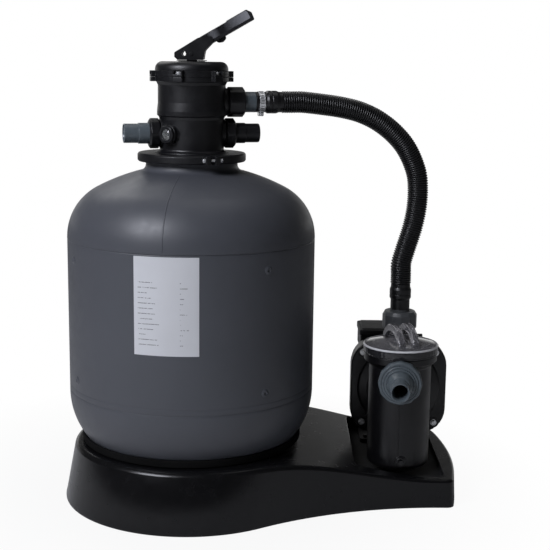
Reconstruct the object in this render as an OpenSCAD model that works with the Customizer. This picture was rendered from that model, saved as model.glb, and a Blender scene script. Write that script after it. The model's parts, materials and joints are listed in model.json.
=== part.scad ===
// Pool filter set: a blow-moulded sand tank with a six-way top valve, and a pump with a
// strainer pot, joined by a ribbed hose and carried by one moulded plinth.
// Origin: on the floor under the tank's axis. +X runs towards the pump, +Y away from the
// front, +Z up. Millimetres.

/* [Plinth] */
// Room between the tank's side and the plinth's round end
plinth_margin = 10; // [8:1:60]
// Height of the plinth under the tank
plinth_h = 118; // [100:1:160]
// Height of the plinth's rim at the pump
platform_h = 57; // [45:1:80]
// Depth of the tray that the pump stands in
tray_depth = 10; // [4:1:20]
// Distance from the tank axis forward to the front edge of the pump end
plinth_front = 108; // [95:1:140]
// Distance from the pump axis to the plinth's end
plinth_end = 116; // [112:1:180]
// Wall thickness of the plinth
plinth_wall = 5; // [3:0.5:8]
// How far the walls lean in between the floor and the top
plinth_draft = 22; // [4:1:30]

/* [Tank] */
// Outer diameter of the tank
tank_d = 500; // [410:1:620]
// Height of the tank's straight side
tank_side_h = 314; // [240:1:420]
// Wall thickness of the tank
tank_wall = 6; // [4:0.5:9]
// Radius of the shoulder between side and dome
shoulder_r = 110; // [80:1:130]
// Radius of the dome itself
dome_r = 410; // [380:1:500]
// Radius of the curve between side and bottom
bottom_r = 150; // [120:1:170]
// Outer diameter of the neck
neck_d = 184; // [176:1:220]
// Height of the neck above its fillet
neck_h = 10; // [8:1:24]
// Width of the data label
label_w = 124; // [60:1:150]
// Height of the data label
label_h = 186; // [80:1:220]

/* [Valve] */
// Outer diameter of the valve body below the step
valve_low_d = 128; // [120:1:140]
// Outer diameter of the valve body above the step
valve_top_d = 138; // [134:1:150]
// Height of the valve body below the step
valve_low_h = 80; // [76:1:110]
// Height of the valve body above the step
valve_top_h = 64; // [60:1:90]
// Height of the cover's dome above its flange
cover_h = 18; // [16:1:30]
// Length of the lever from its pin to its tip
lever_l = 143; // [110:1:180]

/* [Hose and unions] */
// Outer diameter over the hose's ribs
hose_d = 44; // [38:0.5:48]
// Bore of the hose
hose_bore = 34; // [28:0.5:36]
// Number of ribs along the hose
hose_ribs = 125; // [60:1:160]
// Outer diameter of a bare hose tail
tail_d = 38; // [32:0.5:40]
// Wall of a hose tail
tail_wall = 4.5; // [3:0.5:6]

/* [Pump] */
// Clear distance from the tank's side to the pump's axis
pump_gap = 190; // [160:1:260]
// Outer diameter of the strainer pot
pot_d = 128; // [120:1:150]
// Height of the strainer pot from the platform to its mouth
pot_h = 253; // [230:1:300]
// Wall of the strainer pot
pot_wall = 6; // [4:0.5:8]
// Width and height of the pump casing
casing_w = 206; // [200:1:240]
// Height of the pump's shaft above the platform
shaft_h = 138; // [126:1:150]
// Diameter of the motor's fins
motor_d = 138; // [120:1:150]
// Length of the motor frame
motor_l = 100; // [90:1:200]

/* [Hidden] */
$fn = 96;

// Clearances: parts that slide, parts that turn on a shaft, and seats that only stand near
slide_gap = 0.3;
shaft_gap = 0.05;
seat_gap = 0.3;
cut = 1;

// Colours as seen
black = [0.07, 0.07, 0.08];
tank_grey = [0.29, 0.31, 0.35];
pvc_grey = [0.36, 0.40, 0.43];
steel = [0.75, 0.76, 0.78];
rubber = [0.05, 0.05, 0.05];
clear_grey = [0.55, 0.57, 0.58, 0.5];
copper = [0.65, 0.40, 0.25];

// Tank and plinth places
tank_r = tank_d / 2;
plinth_r = tank_r + plinth_margin;
pump_x = tank_r + pump_gap;
plinth_right = pump_x + plinth_end;
tray_z = platform_h - tray_depth;
foot_seat_t = 8;
tank_z0 = plinth_h + foot_seat_t;
bottom_angle = 40;
side_z0 = tank_z0 + bottom_r * sin(bottom_angle);
side_z1 = side_z0 + tank_side_h;
bottom_flat_r = tank_r - bottom_r * (1 - cos(bottom_angle));

// The dome is a large radius that runs into the shoulder radius
shoulder_angle = asin((tank_r - shoulder_r) / (dome_r - shoulder_r));
dome_z = side_z1 - (dome_r - shoulder_r) * cos(shoulder_angle);
neck_r = neck_d / 2;
neck_wall = 8;
neck_fillet = 14;
fillet_angle = asin((neck_r + neck_fillet) / (dome_r + neck_fillet));
fillet_z = dome_z + sqrt(pow(dome_r + neck_fillet, 2) - pow(neck_r + neck_fillet, 2));

// Stack of flanges that the clamp holds, from the neck's lip upwards
lip_over = 8;
flange_r = neck_r + lip_over;
lip_t = 4;
gasket_t = 1.5;
flange_t = 3.5;
clamp_lip_t = 4;
clamp_wall = 8.5;
lip_z = fillet_z + neck_h;
gasket_z = lip_z + lip_t;
flange_z = gasket_z + gasket_t;
valve_z = flange_z + flange_t;
clamp_r = flange_r + clamp_wall;
clamp_z0 = lip_z - clamp_lip_t;
clamp_z1 = valve_z + clamp_lip_t;
clamp_joint_angle = -65;
clamp_split = 4;
ear_w = 12;
ear_out = 9;
clamp_bolt_r = 2.5;

// Valve levels
valve_low_r = valve_low_d / 2;
valve_top_r = valve_top_d / 2;
valve_wall = 9;
divider_t = 12;
step_z = valve_z + valve_low_h;
body_flange_t = 9;
body_flange_z = step_z + valve_top_h;
cover_z = body_flange_z + body_flange_t;
cover_flange_t = 12;
cover_flange_r = valve_top_r + 5;
cover_top_z = cover_z + cover_flange_t + cover_h;
low_port_z = step_z - 38;
high_port_z = step_z + 24;
lug_r = 9;
lug_count = 6;
cover_screw_r = 3;
chamber_r = valve_top_r - valve_wall;
window_r0 = 30;
window_r1 = 54;
window_angle = 40;

// Rotor, stem and handle
spider_t = 3;
rotor_t = 12;
rotor_z = step_z + spider_t + seat_gap;
rotor_r = chamber_r - 3;
stem_r = 10;
boss_h = 1;
washer_t = 3;
washer_z = cover_top_z + boss_h;
heel_h = 10;
heel_gap = 0.4;
pin_z = washer_z + washer_t + heel_h + heel_gap;
pin_r = 4;
tongue_w = 14;
tongue_r = 10;
handle_w = 40;
lever_w = 34;
spring_wire = 4;
spring_r = 17;
spring_turns = 5;

// Unions: the nozzle's end face, a flat seal, the tail's flange and the nut's lip follow each other
seal_t = 2;
tail_flange_t = 4;
nut_lip_t = 4;
nozzle_r = 24;
nozzle_bore_r = 16;
nut_r = 28.5;
collar_r = 20.5;
tail_r = tail_d / 2;
tail_bore_r = tail_r - tail_wall;
low_nozzle_s = valve_low_r + 13;
low_nut_l = 20;
low_collar_l = 21;
low_barrel_l = 29;
high_nozzle_s = valve_top_r + 27;
high_nut_l = 34;
high_collar_l = 23;

// Pump levels and places, in the pump's own frame: its axis at x = 0
pot_r = pot_d / 2;
casing_y0 = 92;
casing_gap = 36;
pot_x = -9;
pot_y = casing_y0 - casing_gap - pot_r;
pot_z0 = platform_h + 5;
pot_top_z = platform_h + pot_h;
shaft_z = platform_h + shaft_h;
casing_t = 33;
casing_seal_t = 2;
plate_y0 = casing_y0 + casing_t + casing_seal_t;
plate_t = 20;
motor_y0 = plate_y0 + plate_t;
motor_y1 = motor_y0 + motor_l;
shield_t = 12;
shield_y1 = motor_y1 + shield_t;
fan_space = 28;
cover_wall = 3;
casing_corner = 55;
casing_bolt_x = casing_w / 2 - 25;
casing_bolt_r = 4;
casing_wall = 7;
volute_r = 72;
eye_r = 22;
lid_over = 13;
lid_r = pot_r + lid_over;
lid_wall = 5;
lid_t = 4;
lid_dome_h = 10;
lid_skirt_h = 15;
thread_r = lid_r - lid_wall - slide_gap;
lid_stop_r = lid_r - 2;
lid_stop_t = 12;
basket_r = pot_r - pot_wall - 5;
basket_rim_t = 4;
basket_ledge = 8;
lid_seal_t = 3.4;
lid_z = pot_top_z + seat_gap + lid_seal_t + seat_gap;
suction_z = shaft_z + 62;
suction_nozzle_r = 31;
suction_nut_r = 43;
suction_bore_r = 20;
suction_nut_l = 24;
suction_reach = lid_r + 16;
suction_turn = 5.5;
suction_cone_l = 22;
suction_barrel_l = 36;
discharge_y = casing_y0 + 20;
discharge_z = shaft_z + casing_w / 2 + 2;
discharge_nozzle_r = 28;
discharge_bore_r = 15;
discharge_nozzle_z = discharge_z + 51;
discharge_nut_r = 36;
discharge_nut_l = 38;
discharge_collar_l = 4;
shaft_r = 8;
bearing_r = 16;
bearing_t = 11;
motor_r = motor_d / 2;
frame_r = motor_r - 9;
stator_r = frame_r - 6;
stator_bore_r = 34;
core_gap = 0.5;
core_y0 = motor_y0 + 20;
core_l = 60;
fin_count = 28;
fin_t = 3;
box_w = 120;
box_l = 95;
box_dx = -20;
box_y = motor_y0 + 6;
box_top_z = shaft_z + 115;
box_lid_t = 16;
gland_r = 9;
foot_l = 90;
foot_w = 150;
foot_plate_t = 9;
foot_y = motor_y0 + 8;
foot_screw_r = 3;

// The valve is turned so that its ports line up with the pump's discharge
valve_turn = atan2(discharge_y, pump_x);

// Hose: the ends are fixed by the two cuffs, and the points between are chosen by hand.
// Each point is [distance from the tank's axis in the hose's own plane, height].
hose_r = hose_d / 2;
cuff_wall = 3.5;
cuff_bulge = 2.5;
cuff_l = 56;
cuff_plain_l = 22;
valve_cuff_s = high_nozzle_s + seal_t + tail_flange_t + nut_lip_t + high_collar_l;
hose_s0 = valve_cuff_s + cuff_l;
hose_z0 = high_port_z;
pump_cuff_z = discharge_nozzle_z + seal_t + tail_flange_t + nut_lip_t + discharge_collar_l;
hose_s1 = norm([pump_x, discharge_y]);
hose_z1 = pump_cuff_z + cuff_l;
rib_depth = 2.5;
hose_start = [[0, 0], [22, 0], [44, 0], [82, -4], [126, -10], [168, -20], [208, -38], [246, -66],
    [275, -100]];
hose_finish = [[27, 238], [32, 198], [30, 158], [22, 118], [9, 76], [0, 44], [0, 22], [0, 0]];
hose_route = concat(
    [for (p = hose_start) [hose_s0, hose_z0] + p],
    [for (p = hose_finish) [hose_s1, hose_z1] + p]
);
hose_sides = 8;
route_steps = 12;

// Places that repeat: clamp joints and screws
clamp_joints = [clamp_joint_angle, clamp_joint_angle + 180];
lug_angles = [for (i = [0:lug_count - 1]) i * 360 / lug_count];
foot_screw_places = [for (x = [-1, 1], y = [0.2, 0.8]) [x * (foot_w / 2 - 14), foot_y + y * foot_l]];
casing_corners = [for (x = [-1, 1], z = [-1, 1]) [x * casing_bolt_x, z * casing_bolt_x]];

function arc(c, r, a0, a1, n) = [
    for (i = [0:n]) c + r * [cos(a0 + (a1 - a0) * i / n), sin(a0 + (a1 - a0) * i / n)]
];

// Axis helpers: a shape drawn along +Z is laid along +X or +Y
module along_x() { rotate([0, 90, 0]) children(); }
module along_y() { rotate([-90, 0, 0]) children(); }
module in_valve() { rotate([0, 0, valve_turn]) children(); }
module in_pump() { translate([pump_x, 0, 0]) children(); }
module at_shaft(y) { translate([0, y, shaft_z]) along_y() children(); }

// A ring of square section
module ring(r_out, r_in, h) {
    difference() {
        cylinder(r = r_out, h = h);
        translate([0, 0, -cut]) cylinder(r = r_in, h = h + 2 * cut);
    }
}

// A flat plate with round corners, lying in XY
module round_plate(w, l, r, h) {
    linear_extrude(height = h) {
        square([w, l - 2 * r], center = true);
        square([w - 2 * r, l], center = true);
        for (x = [-1, 1], y = [-1, 1])
            translate([x * (w / 2 - r), y * (l / 2 - r)]) circle(r = r);
    }
}

// Plinth outline: the round end, a hollow front curve, the bowed pump end and a straight back,
// all drawn in by one inset. The round end's middle lies a little in front of the tank's axis.
round_y = -11;
plinth_back = plinth_r + 4;
end_bow_r = 750;
end_bow_y = 60;
front_corner_r = 16;
back_corner_r = 60;
end_bow_x = plinth_right - end_bow_r;
end_a0 = asin((front_corner_r - plinth_front - end_bow_y) / (end_bow_r - front_corner_r));
end_a1 = asin((plinth_back - back_corner_r - end_bow_y) / (end_bow_r - back_corner_r));
front_corner = [end_bow_x + (end_bow_r - front_corner_r) * cos(end_a0), front_corner_r - plinth_front];
back_corner = [end_bow_x + (end_bow_r - back_corner_r) * cos(end_a1), plinth_back - back_corner_r];
front_d = plinth_front + round_y;
hollow_r = (pow(front_corner[0], 2) + pow(front_d, 2) - pow(plinth_r, 2)) / (2 * (plinth_r - front_d));
hollow_a = atan2(-front_d - hollow_r, front_corner[0]);
hollow_c = [front_corner[0], round_y - front_d - hollow_r];

function plinth_outline(inset) = concat(
    arc([0, round_y], plinth_r - inset, 90, 360 + hollow_a, 44),
    arc(hollow_c, hollow_r + inset, 180 + hollow_a, 90, 14),
    arc(front_corner, front_corner_r - inset, -90, end_a0, 5),
    arc([end_bow_x, end_bow_y], end_bow_r - inset, end_a0, end_a1, 6),
    arc(back_corner, back_corner_r - inset, end_a1, 90, 8)
);

// Side profile of the plinth's top: level at the tank, one smooth ramp, level at the pump
ramp_x0 = tank_r / 2;
ramp_x1 = pump_x + 68;
ramp_steps = 20;

function plinth_side(drop) = concat(
    [[-plinth_r - cut, -cut], [plinth_right + cut, -cut], [plinth_right + cut, platform_h - drop]],
    [for (i = [ramp_steps:-1:0])
        let (t = i / ramp_steps)
        [ramp_x0 + (ramp_x1 - ramp_x0) * t,
         plinth_h - drop - (plinth_h - platform_h) * (1 - cos(180 * t)) / 2]],
    [[-plinth_r - cut, plinth_h - drop]]
);

// The walls lean towards one point near the pump, so the round end leans most
lean_x = pump_x - 60;

module plinth_block(inset, drop) {
    reach = lean_x + plinth_r;
    intersection() {
        translate([lean_x, 0, -drop])
            linear_extrude(height = plinth_h, scale = (reach - plinth_draft) / reach)
                translate([-lean_x, 0]) polygon(plinth_outline(inset));
        rotate([90, 0, 0])
            linear_extrude(height = 4 * plinth_r, center = true)
                polygon(plinth_side(drop));
    }
}

// Tray: a round-cornered hollow in the top that the pump stands in, grown by one margin
tray_x0 = pump_x - 116;
tray_x1 = pump_x + 80;
tray_y0 = 24 - plinth_front;
tray_y1 = plinth_back - 14;
tray_r = 22;

module pump_tray(grow) {
    translate([(tray_x0 + tray_x1) / 2, (tray_y0 + tray_y1) / 2, tray_z - grow])
        round_plate(tray_x1 - tray_x0 + 2 * grow, tray_y1 - tray_y0 + 2 * grow, tray_r + grow, plinth_h);
}

post_r = 45;
post_wall = 6;
post_drop = 1;

module base_plinth() {
    color(black) difference() {
        union() {
            difference() {
                plinth_block(0, 0);
                difference() {
                    plinth_block(plinth_wall, plinth_wall);
                    pump_tray(plinth_wall);
                }
                pump_tray(0);
            }
            // Hollow post under the middle of the tank, closed at the floor, with a window on each side
            difference() {
                cylinder(r = post_r, h = plinth_h - post_drop);
                translate([0, 0, post_wall])
                    cylinder(r = post_r - post_wall, h = plinth_h - post_wall - plinth_wall);
                for (a = [0, 90]) rotate([0, 0, a]) translate([0, 0, plinth_h / 2])
                    cube([3 * post_r, post_r, plinth_h / 2], center = true);
            }
        }
        in_pump() for (p = foot_screw_places)
            translate([p[0], p[1], 0]) cylinder(r = foot_screw_r + shaft_gap, h = plinth_h);
    }
}

// Tank
foot_ring_in = 150;
foot_lip_gap = 1.5;
foot_lip_t = 4;
foot_lip_h = 8;

module tank_foot_ring() {
    lip_r = tank_r - bottom_r * (1 - cos(asin((side_z0 - tank_z0 - foot_lip_h) / bottom_r))) + foot_lip_gap;
    color(black) translate([0, 0, plinth_h]) {
        difference() {
            ring(lip_r + foot_lip_t, foot_ring_in, foot_seat_t + foot_lip_h);
            translate([0, 0, foot_seat_t]) cylinder(r = lip_r, h = foot_lip_h + cut);
        }
    }
}

// Half section of the tank's skin, drawn in by an inset: bottom corner to the top of the neck
function tank_skin(inset) = concat(
    arc([tank_r - bottom_r, side_z0], bottom_r - inset, -bottom_angle, 0, 10),
    arc([tank_r - shoulder_r, side_z1], shoulder_r - inset, 0, 90 - shoulder_angle, 14),
    arc([0, dome_z], dome_r - inset, 90 - shoulder_angle, 90 - fillet_angle, 8)
);

function tank_neck() = arc([neck_r + neck_fillet, fillet_z], neck_fillet,
    270 - fillet_angle, 180, 6);

drain_z = side_z0 + 24;
drain_boss_r = 26;
drain_boss_l = 10;
drain_hole_r = 14;

module tank_shell() {
    inner = tank_skin(tank_wall);
    inner_neck_z = dome_z + sqrt(pow(dome_r - tank_wall, 2) - pow(neck_r - neck_wall, 2));
    color(tank_grey) difference() {
        union() {
            rotate_extrude() polygon(concat(
                [[0, tank_z0], [bottom_flat_r, tank_z0]],
                tank_skin(0),
                tank_neck(),
                [[neck_r, lip_z], [flange_r, lip_z], [flange_r, gasket_z],
                 [neck_r - neck_wall, gasket_z], [neck_r - neck_wall, inner_neck_z]],
                [for (i = [len(inner) - 1:-1:0])
                    if (inner[i][0] > neck_r - neck_wall + 1 && inner[i][1] > tank_z0 + tank_wall) inner[i]],
                [[bottom_flat_r - tank_wall, tank_z0 + tank_wall], [0, tank_z0 + tank_wall]]
            ));
            translate([0, tank_r - tank_wall / 2, drain_z]) along_y()
                cylinder(r = drain_boss_r, h = tank_wall / 2 + drain_boss_l);
        }
        translate([0, tank_r - 3 * tank_wall, drain_z]) along_y()
            cylinder(r = drain_hole_r, h = 4 * tank_wall + drain_boss_l);
    }
}

// Label: a thin curved sheet on the tank's front, left of the middle
label_t = 0.4;
label_angle = -97;
label_z = side_z1 - 98;
film_gap = 0.05;

module tank_label() {
    sweep = label_w / tank_r * 180 / PI;
    color([0.86, 0.87, 0.88])
        translate([0, 0, label_z - label_h / 2])
            rotate([0, 0, label_angle - sweep / 2])
                rotate_extrude(angle = sweep)
                    translate([tank_r + film_gap, 0]) square([label_t, label_h]);
}

plug_head_r = 20;
plug_head_l = 12;

module tank_drain_plug() {
    color(black) translate([0, tank_r + drain_boss_l, drain_z]) along_y() {
        cylinder(r = plug_head_r, h = plug_head_l, $fn = 6);
        translate([0, 0, -drain_boss_l]) cylinder(r = drain_hole_r - shaft_gap, h = drain_boss_l + cut);
    }
}

gasket_in = 1;
gasket_over = 2;

module neck_gasket() {
    color(rubber) translate([0, 0, gasket_z])
        ring(flange_r - gasket_in, neck_r - neck_wall + gasket_over, gasket_t);
}

// Clamp: two half rings of C section with an ear at each end, split on one line across the neck
clamp_gap = clamp_r * sin(clamp_split / 2);
clamp_bolt_x = clamp_r + ear_out / 2;
clamp_mid_z = (clamp_z0 + clamp_z1) / 2;
clamp_h = clamp_z1 - clamp_z0;
ear_root = 4;

module clamp_half() {
    difference() {
        union() {
            rotate([0, 0, clamp_split / 2]) rotate_extrude(angle = 180 - clamp_split) polygon([
                [neck_r + slide_gap, clamp_z0], [clamp_r, clamp_z0], [clamp_r, clamp_z1],
                [valve_low_r + lug_r, clamp_z1], [valve_low_r + lug_r, valve_z],
                [flange_r + slide_gap, valve_z], [flange_r + slide_gap, lip_z], [neck_r + slide_gap, lip_z]
            ]);
            for (side = [0, 1]) mirror([side, 0, 0])
                translate([clamp_r - ear_root, clamp_gap, clamp_z0])
                    cube([ear_out + ear_root, ear_w, clamp_h]);
        }
        for (side = [-1, 1]) translate([side * clamp_bolt_x, 0, clamp_mid_z]) along_y()
            cylinder(r = clamp_bolt_r + shaft_gap, h = 3 * ear_w);
    }
}

module neck_clamp_front() {
    color(black) rotate([0, 0, clamp_joint_angle + 180]) clamp_half();
}

module neck_clamp_rear() {
    color(black) rotate([0, 0, clamp_joint_angle]) clamp_half();
}

// Each clamp bolt lies across a joint, with its head on one ear and its nut on the other
bolt_head_h = 4;
bolt_head_r = 4.5;
bolt_tail = 2;

module clamp_bolts() {
    reach = clamp_gap + ear_w;
    color(steel) for (a = clamp_joints) rotate([0, 0, a])
        translate([clamp_bolt_x, 0, clamp_mid_z]) along_y() {
            translate([0, 0, -reach - cut])
                cylinder(r = clamp_bolt_r, h = 2 * reach + bolt_head_h + bolt_tail);
            translate([0, 0, -reach - bolt_head_h]) cylinder(r = bolt_head_r, h = bolt_head_h, $fn = 6);
            translate([0, 0, reach]) cylinder(r = bolt_head_r, h = bolt_head_h, $fn = 6);
        }
}

// Valve body: spigot, flange, stepped barrel and cover flange, with the three port nozzles
spigot_l = 30;
pipe_r = 21;
pipe_wall = 3;
pipe_tube_r = pipe_r + 5;
tube_lap = 2;
tube_wall = 4;
bore_lap = 8;
sight_turn = 51;
sight_boss_r = 18;
sight_face = 72;
sight_bore_r = 11;

// Out along the sight glass's line, at the height of the lower ports
module at_sight(out) {
    rotate([0, 0, -sight_turn]) translate([0, -out, low_port_z]) rotate([90, 0, 0]) children();
}

module lug_flange(h, hole_r) {
    linear_extrude(height = h) difference() {
        union() {
            circle(r = cover_flange_r);
            for (a = lug_angles) rotate(a) translate([cover_flange_r, 0]) circle(r = lug_r);
        }
        for (a = lug_angles) rotate(a) translate([cover_flange_r, 0]) circle(r = hole_r);
    }
}

module valve_skin() {
    translate([0, 0, flange_z - spigot_l])
        cylinder(r = neck_r - neck_wall - slide_gap, h = spigot_l + cut);
    translate([0, 0, flange_z]) cylinder(r = flange_r, h = flange_t);
    translate([0, 0, flange_z]) cylinder(r = valve_low_r, h = step_z - flange_z + cut);
    translate([0, 0, step_z]) cylinder(r = valve_top_r, h = valve_top_h + cut);
    translate([0, 0, body_flange_z]) lug_flange(body_flange_t, cover_screw_r + shaft_gap);
    translate([0, 0, low_port_z]) rotate([0, 0, 180]) along_x() cylinder(r = nozzle_r, h = low_nozzle_s);
    translate([0, 0, low_port_z]) along_x() cylinder(r = nozzle_r, h = low_nozzle_s);
    translate([0, 0, high_port_z]) along_x() cylinder(r = nozzle_r, h = high_nozzle_s);
    at_sight(0) cylinder(r = sight_boss_r, h = sight_face);
}

module valve_body() {
    lower_top_z = step_z - divider_t;
    color(black) in_valve() difference() {
        union() {
            difference() {
                valve_skin();
                // Lower chamber round the pipe tube, and the rotor's chamber above the divider
                translate([0, 0, flange_z - spigot_l - cut])
                    ring(valve_low_r - valve_wall, pipe_tube_r, lower_top_z - flange_z + spigot_l + cut);
                translate([0, 0, step_z]) cylinder(r = chamber_r, h = cover_z - step_z + cut);
            }
            translate([pipe_tube_r - tube_lap, 0, low_port_z]) along_x()
                cylinder(r = nozzle_bore_r + tube_wall, h = valve_low_r - pipe_tube_r);
        }
        translate([0, 0, flange_z - spigot_l - cut])
            cylinder(r = pipe_r + slide_gap, h = lower_top_z - flange_z + spigot_l + cut);
        translate([0, 0, low_port_z]) along_x() cylinder(r = nozzle_bore_r, h = low_nozzle_s + cut);
        translate([-pipe_tube_r - bore_lap, 0, low_port_z]) rotate([0, 0, 180]) along_x()
            cylinder(r = nozzle_bore_r, h = low_nozzle_s);
        translate([chamber_r - bore_lap, 0, high_port_z]) along_x()
            cylinder(r = nozzle_bore_r, h = high_nozzle_s);
        at_sight(pipe_tube_r + bore_lap) cylinder(r = sight_bore_r, h = sight_face);
        // Six windows in the divider, one for each position of the handle
        for (a = lug_angles) rotate([0, 0, a - window_angle / 2])
            translate([0, 0, lower_top_z - cut]) rotate_extrude(angle = window_angle)
                translate([window_r0, 0]) square([window_r1 - window_r0, divider_t + 2 * cut]);
    }
}

// Rubber wheel on the divider: a rim, a hub and a spoke between each pair of windows
spider_hub_w = 8;

module spider_gasket() {
    color(rubber) in_valve() translate([0, 0, step_z]) difference() {
        ring(chamber_r - slide_gap, window_r0 - spider_hub_w, spider_t);
        for (a = lug_angles) rotate([0, 0, a - window_angle / 2])
            translate([0, 0, -cut]) rotate_extrude(angle = window_angle)
                translate([window_r0, 0]) square([window_r1 - window_r0, spider_t + 2 * cut]);
    }
}

// Cover: flange with lugs, rounded dome and a boss for the stem
groove_w = 4;
groove_h = 2.5;
groove_r = chamber_r + 3;
stem_seal_z = cover_z + cover_flange_t + 6;
stem_seal_h = 3;
stem_seal_r = stem_r + 4;
head_r = 5.5;
head_h = 5;
head_sink = 6;
dome_corner = 14;
cover_inside_h = 13;
boss_r = 26;

module valve_cover() {
    dome_z0 = cover_z + cover_flange_t;
    dome_out_r = cover_flange_r - 1;
    color(black) in_valve() difference() {
        union() {
            translate([0, 0, cover_z]) lug_flange(cover_flange_t, cover_screw_r + shaft_gap);
            rotate_extrude() polygon(concat(
                [[0, dome_z0 - cut], [dome_out_r, dome_z0 - cut]],
                arc([dome_out_r - dome_corner, cover_top_z - dome_corner], dome_corner, 0, 90, 8),
                [[0, cover_top_z]]
            ));
            translate([0, 0, cover_top_z - cut]) cylinder(r = boss_r, h = boss_h + cut);
        }
        translate([0, 0, cover_z - cut]) cylinder(r = chamber_r, h = cover_inside_h + cut);
        translate([0, 0, cover_z - cut]) cylinder(r = stem_r + shaft_gap, h = 3 * cover_h);
        translate([0, 0, stem_seal_z]) cylinder(r = stem_seal_r, h = stem_seal_h + shaft_gap);
        translate([0, 0, cover_z - cut]) ring(groove_r + groove_w, groove_r, groove_h + cut);
        for (a = lug_angles) rotate([0, 0, a])
            translate([cover_flange_r, 0, cover_z + cover_flange_t - head_sink])
                cylinder(r = head_r + seat_gap, h = head_sink + cover_h);
    }
}

module cover_seals() {
    color(rubber) in_valve() {
        translate([0, 0, cover_z])
            ring(groove_r + groove_w - shaft_gap, groove_r + shaft_gap, groove_h - shaft_gap);
        translate([0, 0, stem_seal_z]) ring(stem_seal_r - shaft_gap, stem_r + slide_gap, stem_seal_h);
    }
}

module cover_screws() {
    color(steel) in_valve() for (a = lug_angles) rotate([0, 0, a])
        translate([cover_flange_r, 0, body_flange_z]) {
            cylinder(r = cover_screw_r, h = body_flange_t + cover_flange_t - head_sink + cut);
            translate([0, 0, body_flange_t + cover_flange_t - head_sink]) difference() {
                cylinder(r = head_r, h = head_h);
                translate([0, 0, head_h / 2]) cylinder(r = head_r / 2, h = head_h, $fn = 6);
            }
        }
}

glass_t = 4;
glass_r = 14;
ring_r = 17;
ring_lip = 3;

module sight_glass() {
    color(clear_grey) in_valve() at_sight(sight_face) cylinder(r = glass_r, h = glass_t);
}

module sight_glass_ring() {
    color(black) in_valve() at_sight(sight_face) difference() {
        cylinder(r = ring_r, h = glass_t + ring_lip);
        translate([0, 0, -cut]) cylinder(r = glass_r + shaft_gap, h = glass_t + cut);
        cylinder(r = glass_r - ring_lip, h = 3 * glass_t);
    }
}

// Union nut: eight-sided, with a turned chamfer, a threaded bore and a lip that holds the tail
nut_chamfer = 4;
nut_edge = 1;

module union_nut(r, l, bore_r, lip_r, sides) {
    difference() {
        intersection() {
            rotate([0, 0, 180 / sides]) cylinder(r = r / cos(180 / sides), h = l, $fn = sides);
            rotate_extrude() polygon([
                [0, 0], [r, 0], [r + nut_edge, nut_edge], [r + nut_edge, l - nut_chamfer],
                [r + nut_edge - nut_chamfer, l], [0, l]
            ]);
        }
        translate([0, 0, -cut]) cylinder(r = bore_r, h = l - nut_lip_t + cut);
        cylinder(r = lip_r, h = l + cut);
    }
}

// Hose tail: flange, collar and barrel round one bore, standing on its flange
tail_chamfer = 1;

module hose_tail(flange, collar, collar_l, barrel, barrel_l, bore) {
    top = tail_flange_t + nut_lip_t + collar_l;
    rotate_extrude() polygon([
        [bore, 0], [flange, 0], [flange, tail_flange_t], [collar, tail_flange_t], [collar, top],
        [barrel, top], [barrel, top + barrel_l - tail_chamfer], [barrel - tail_chamfer, top + barrel_l],
        [bore, top + barrel_l]
    ]);
}

low_nut_s = low_nozzle_s + seal_t + tail_flange_t + nut_lip_t - low_nut_l;
high_nut_s = high_nozzle_s + seal_t + tail_flange_t + nut_lip_t - high_nut_l;
cuff_bore_r = hose_bore / 2 + shaft_gap;
cuff_tail_r = hose_bore / 2;
cuff_tail_wall = 3;
cuff_tail_bore_r = cuff_tail_r - cuff_tail_wall;
cuff_tail_l = cuff_l - 6;
tail_flange_r = nozzle_r - 0.5;
pump_flange_in = 1;
nut_bore_r = nozzle_r + slide_gap;
nut_lip_r = collar_r + slide_gap;

module pump_port_nut() {
    color(black) in_valve() translate([high_nut_s, 0, high_port_z]) along_x()
        union_nut(nut_r, high_nut_l, nut_bore_r, nut_lip_r, 8);
}

module pump_port_tail() {
    color(pvc_grey) in_valve() translate([high_nozzle_s + seal_t, 0, high_port_z]) along_x()
        hose_tail(tail_flange_r, collar_r, high_collar_l, cuff_tail_r, cuff_tail_l, cuff_tail_bore_r);
}

module lower_port_nuts() {
    color(black) in_valve() for (a = [0, 180]) rotate([0, 0, a])
        translate([low_nut_s, 0, low_port_z]) along_x()
            union_nut(nut_r, low_nut_l, nut_bore_r, nut_lip_r, 8);
}

module lower_tail(turn, tint) {
    color(tint) in_valve() rotate([0, 0, turn])
        translate([low_nozzle_s + seal_t, 0, low_port_z]) along_x()
            hose_tail(tail_flange_r, collar_r, low_collar_l, tail_r, low_barrel_l, tail_bore_r);
}

module return_tail() { lower_tail(0, black); }
module waste_tail() { lower_tail(180, pvc_grey); }

// Flat seals: three on the valve's ports, two on the pump's unions and one behind the casing
casing_seal_in = 2;
casing_seal_w = 12;

module flat_seals() {
    color(rubber) {
        in_valve() {
            for (a = [0, 180]) rotate([0, 0, a]) translate([low_nozzle_s, 0, low_port_z]) along_x()
                ring(tail_flange_r, nozzle_bore_r, seal_t);
            translate([high_nozzle_s, 0, high_port_z]) along_x() ring(tail_flange_r, nozzle_bore_r, seal_t);
        }
        in_pump() {
            at_suction(suction_reach)
                ring(suction_nozzle_r - pump_flange_in, suction_bore_r, seal_t);
            translate([0, discharge_y, discharge_nozzle_z])
                ring(discharge_nozzle_r - pump_flange_in, discharge_bore_r, seal_t);
            at_shaft(casing_y0 + casing_t)
                ring(volute_r + casing_seal_in + casing_seal_w, volute_r + casing_seal_in, casing_seal_t);
        }
    }
}

// Inside the tank: pipe, hub and collecting arms
hub_r = 40;
hub_h = 70;
hub_z = tank_z0 + tank_wall + seat_gap;
lateral_r = 10;
lateral_wall = 2;
lateral_count = 8;
lateral_in = 12;
lateral_l = tank_r - 110;
lateral_z = hub_z + 26;
pipe_z0 = hub_z + 40;
pipe_z1 = low_port_z - nozzle_bore_r - 5;

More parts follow.
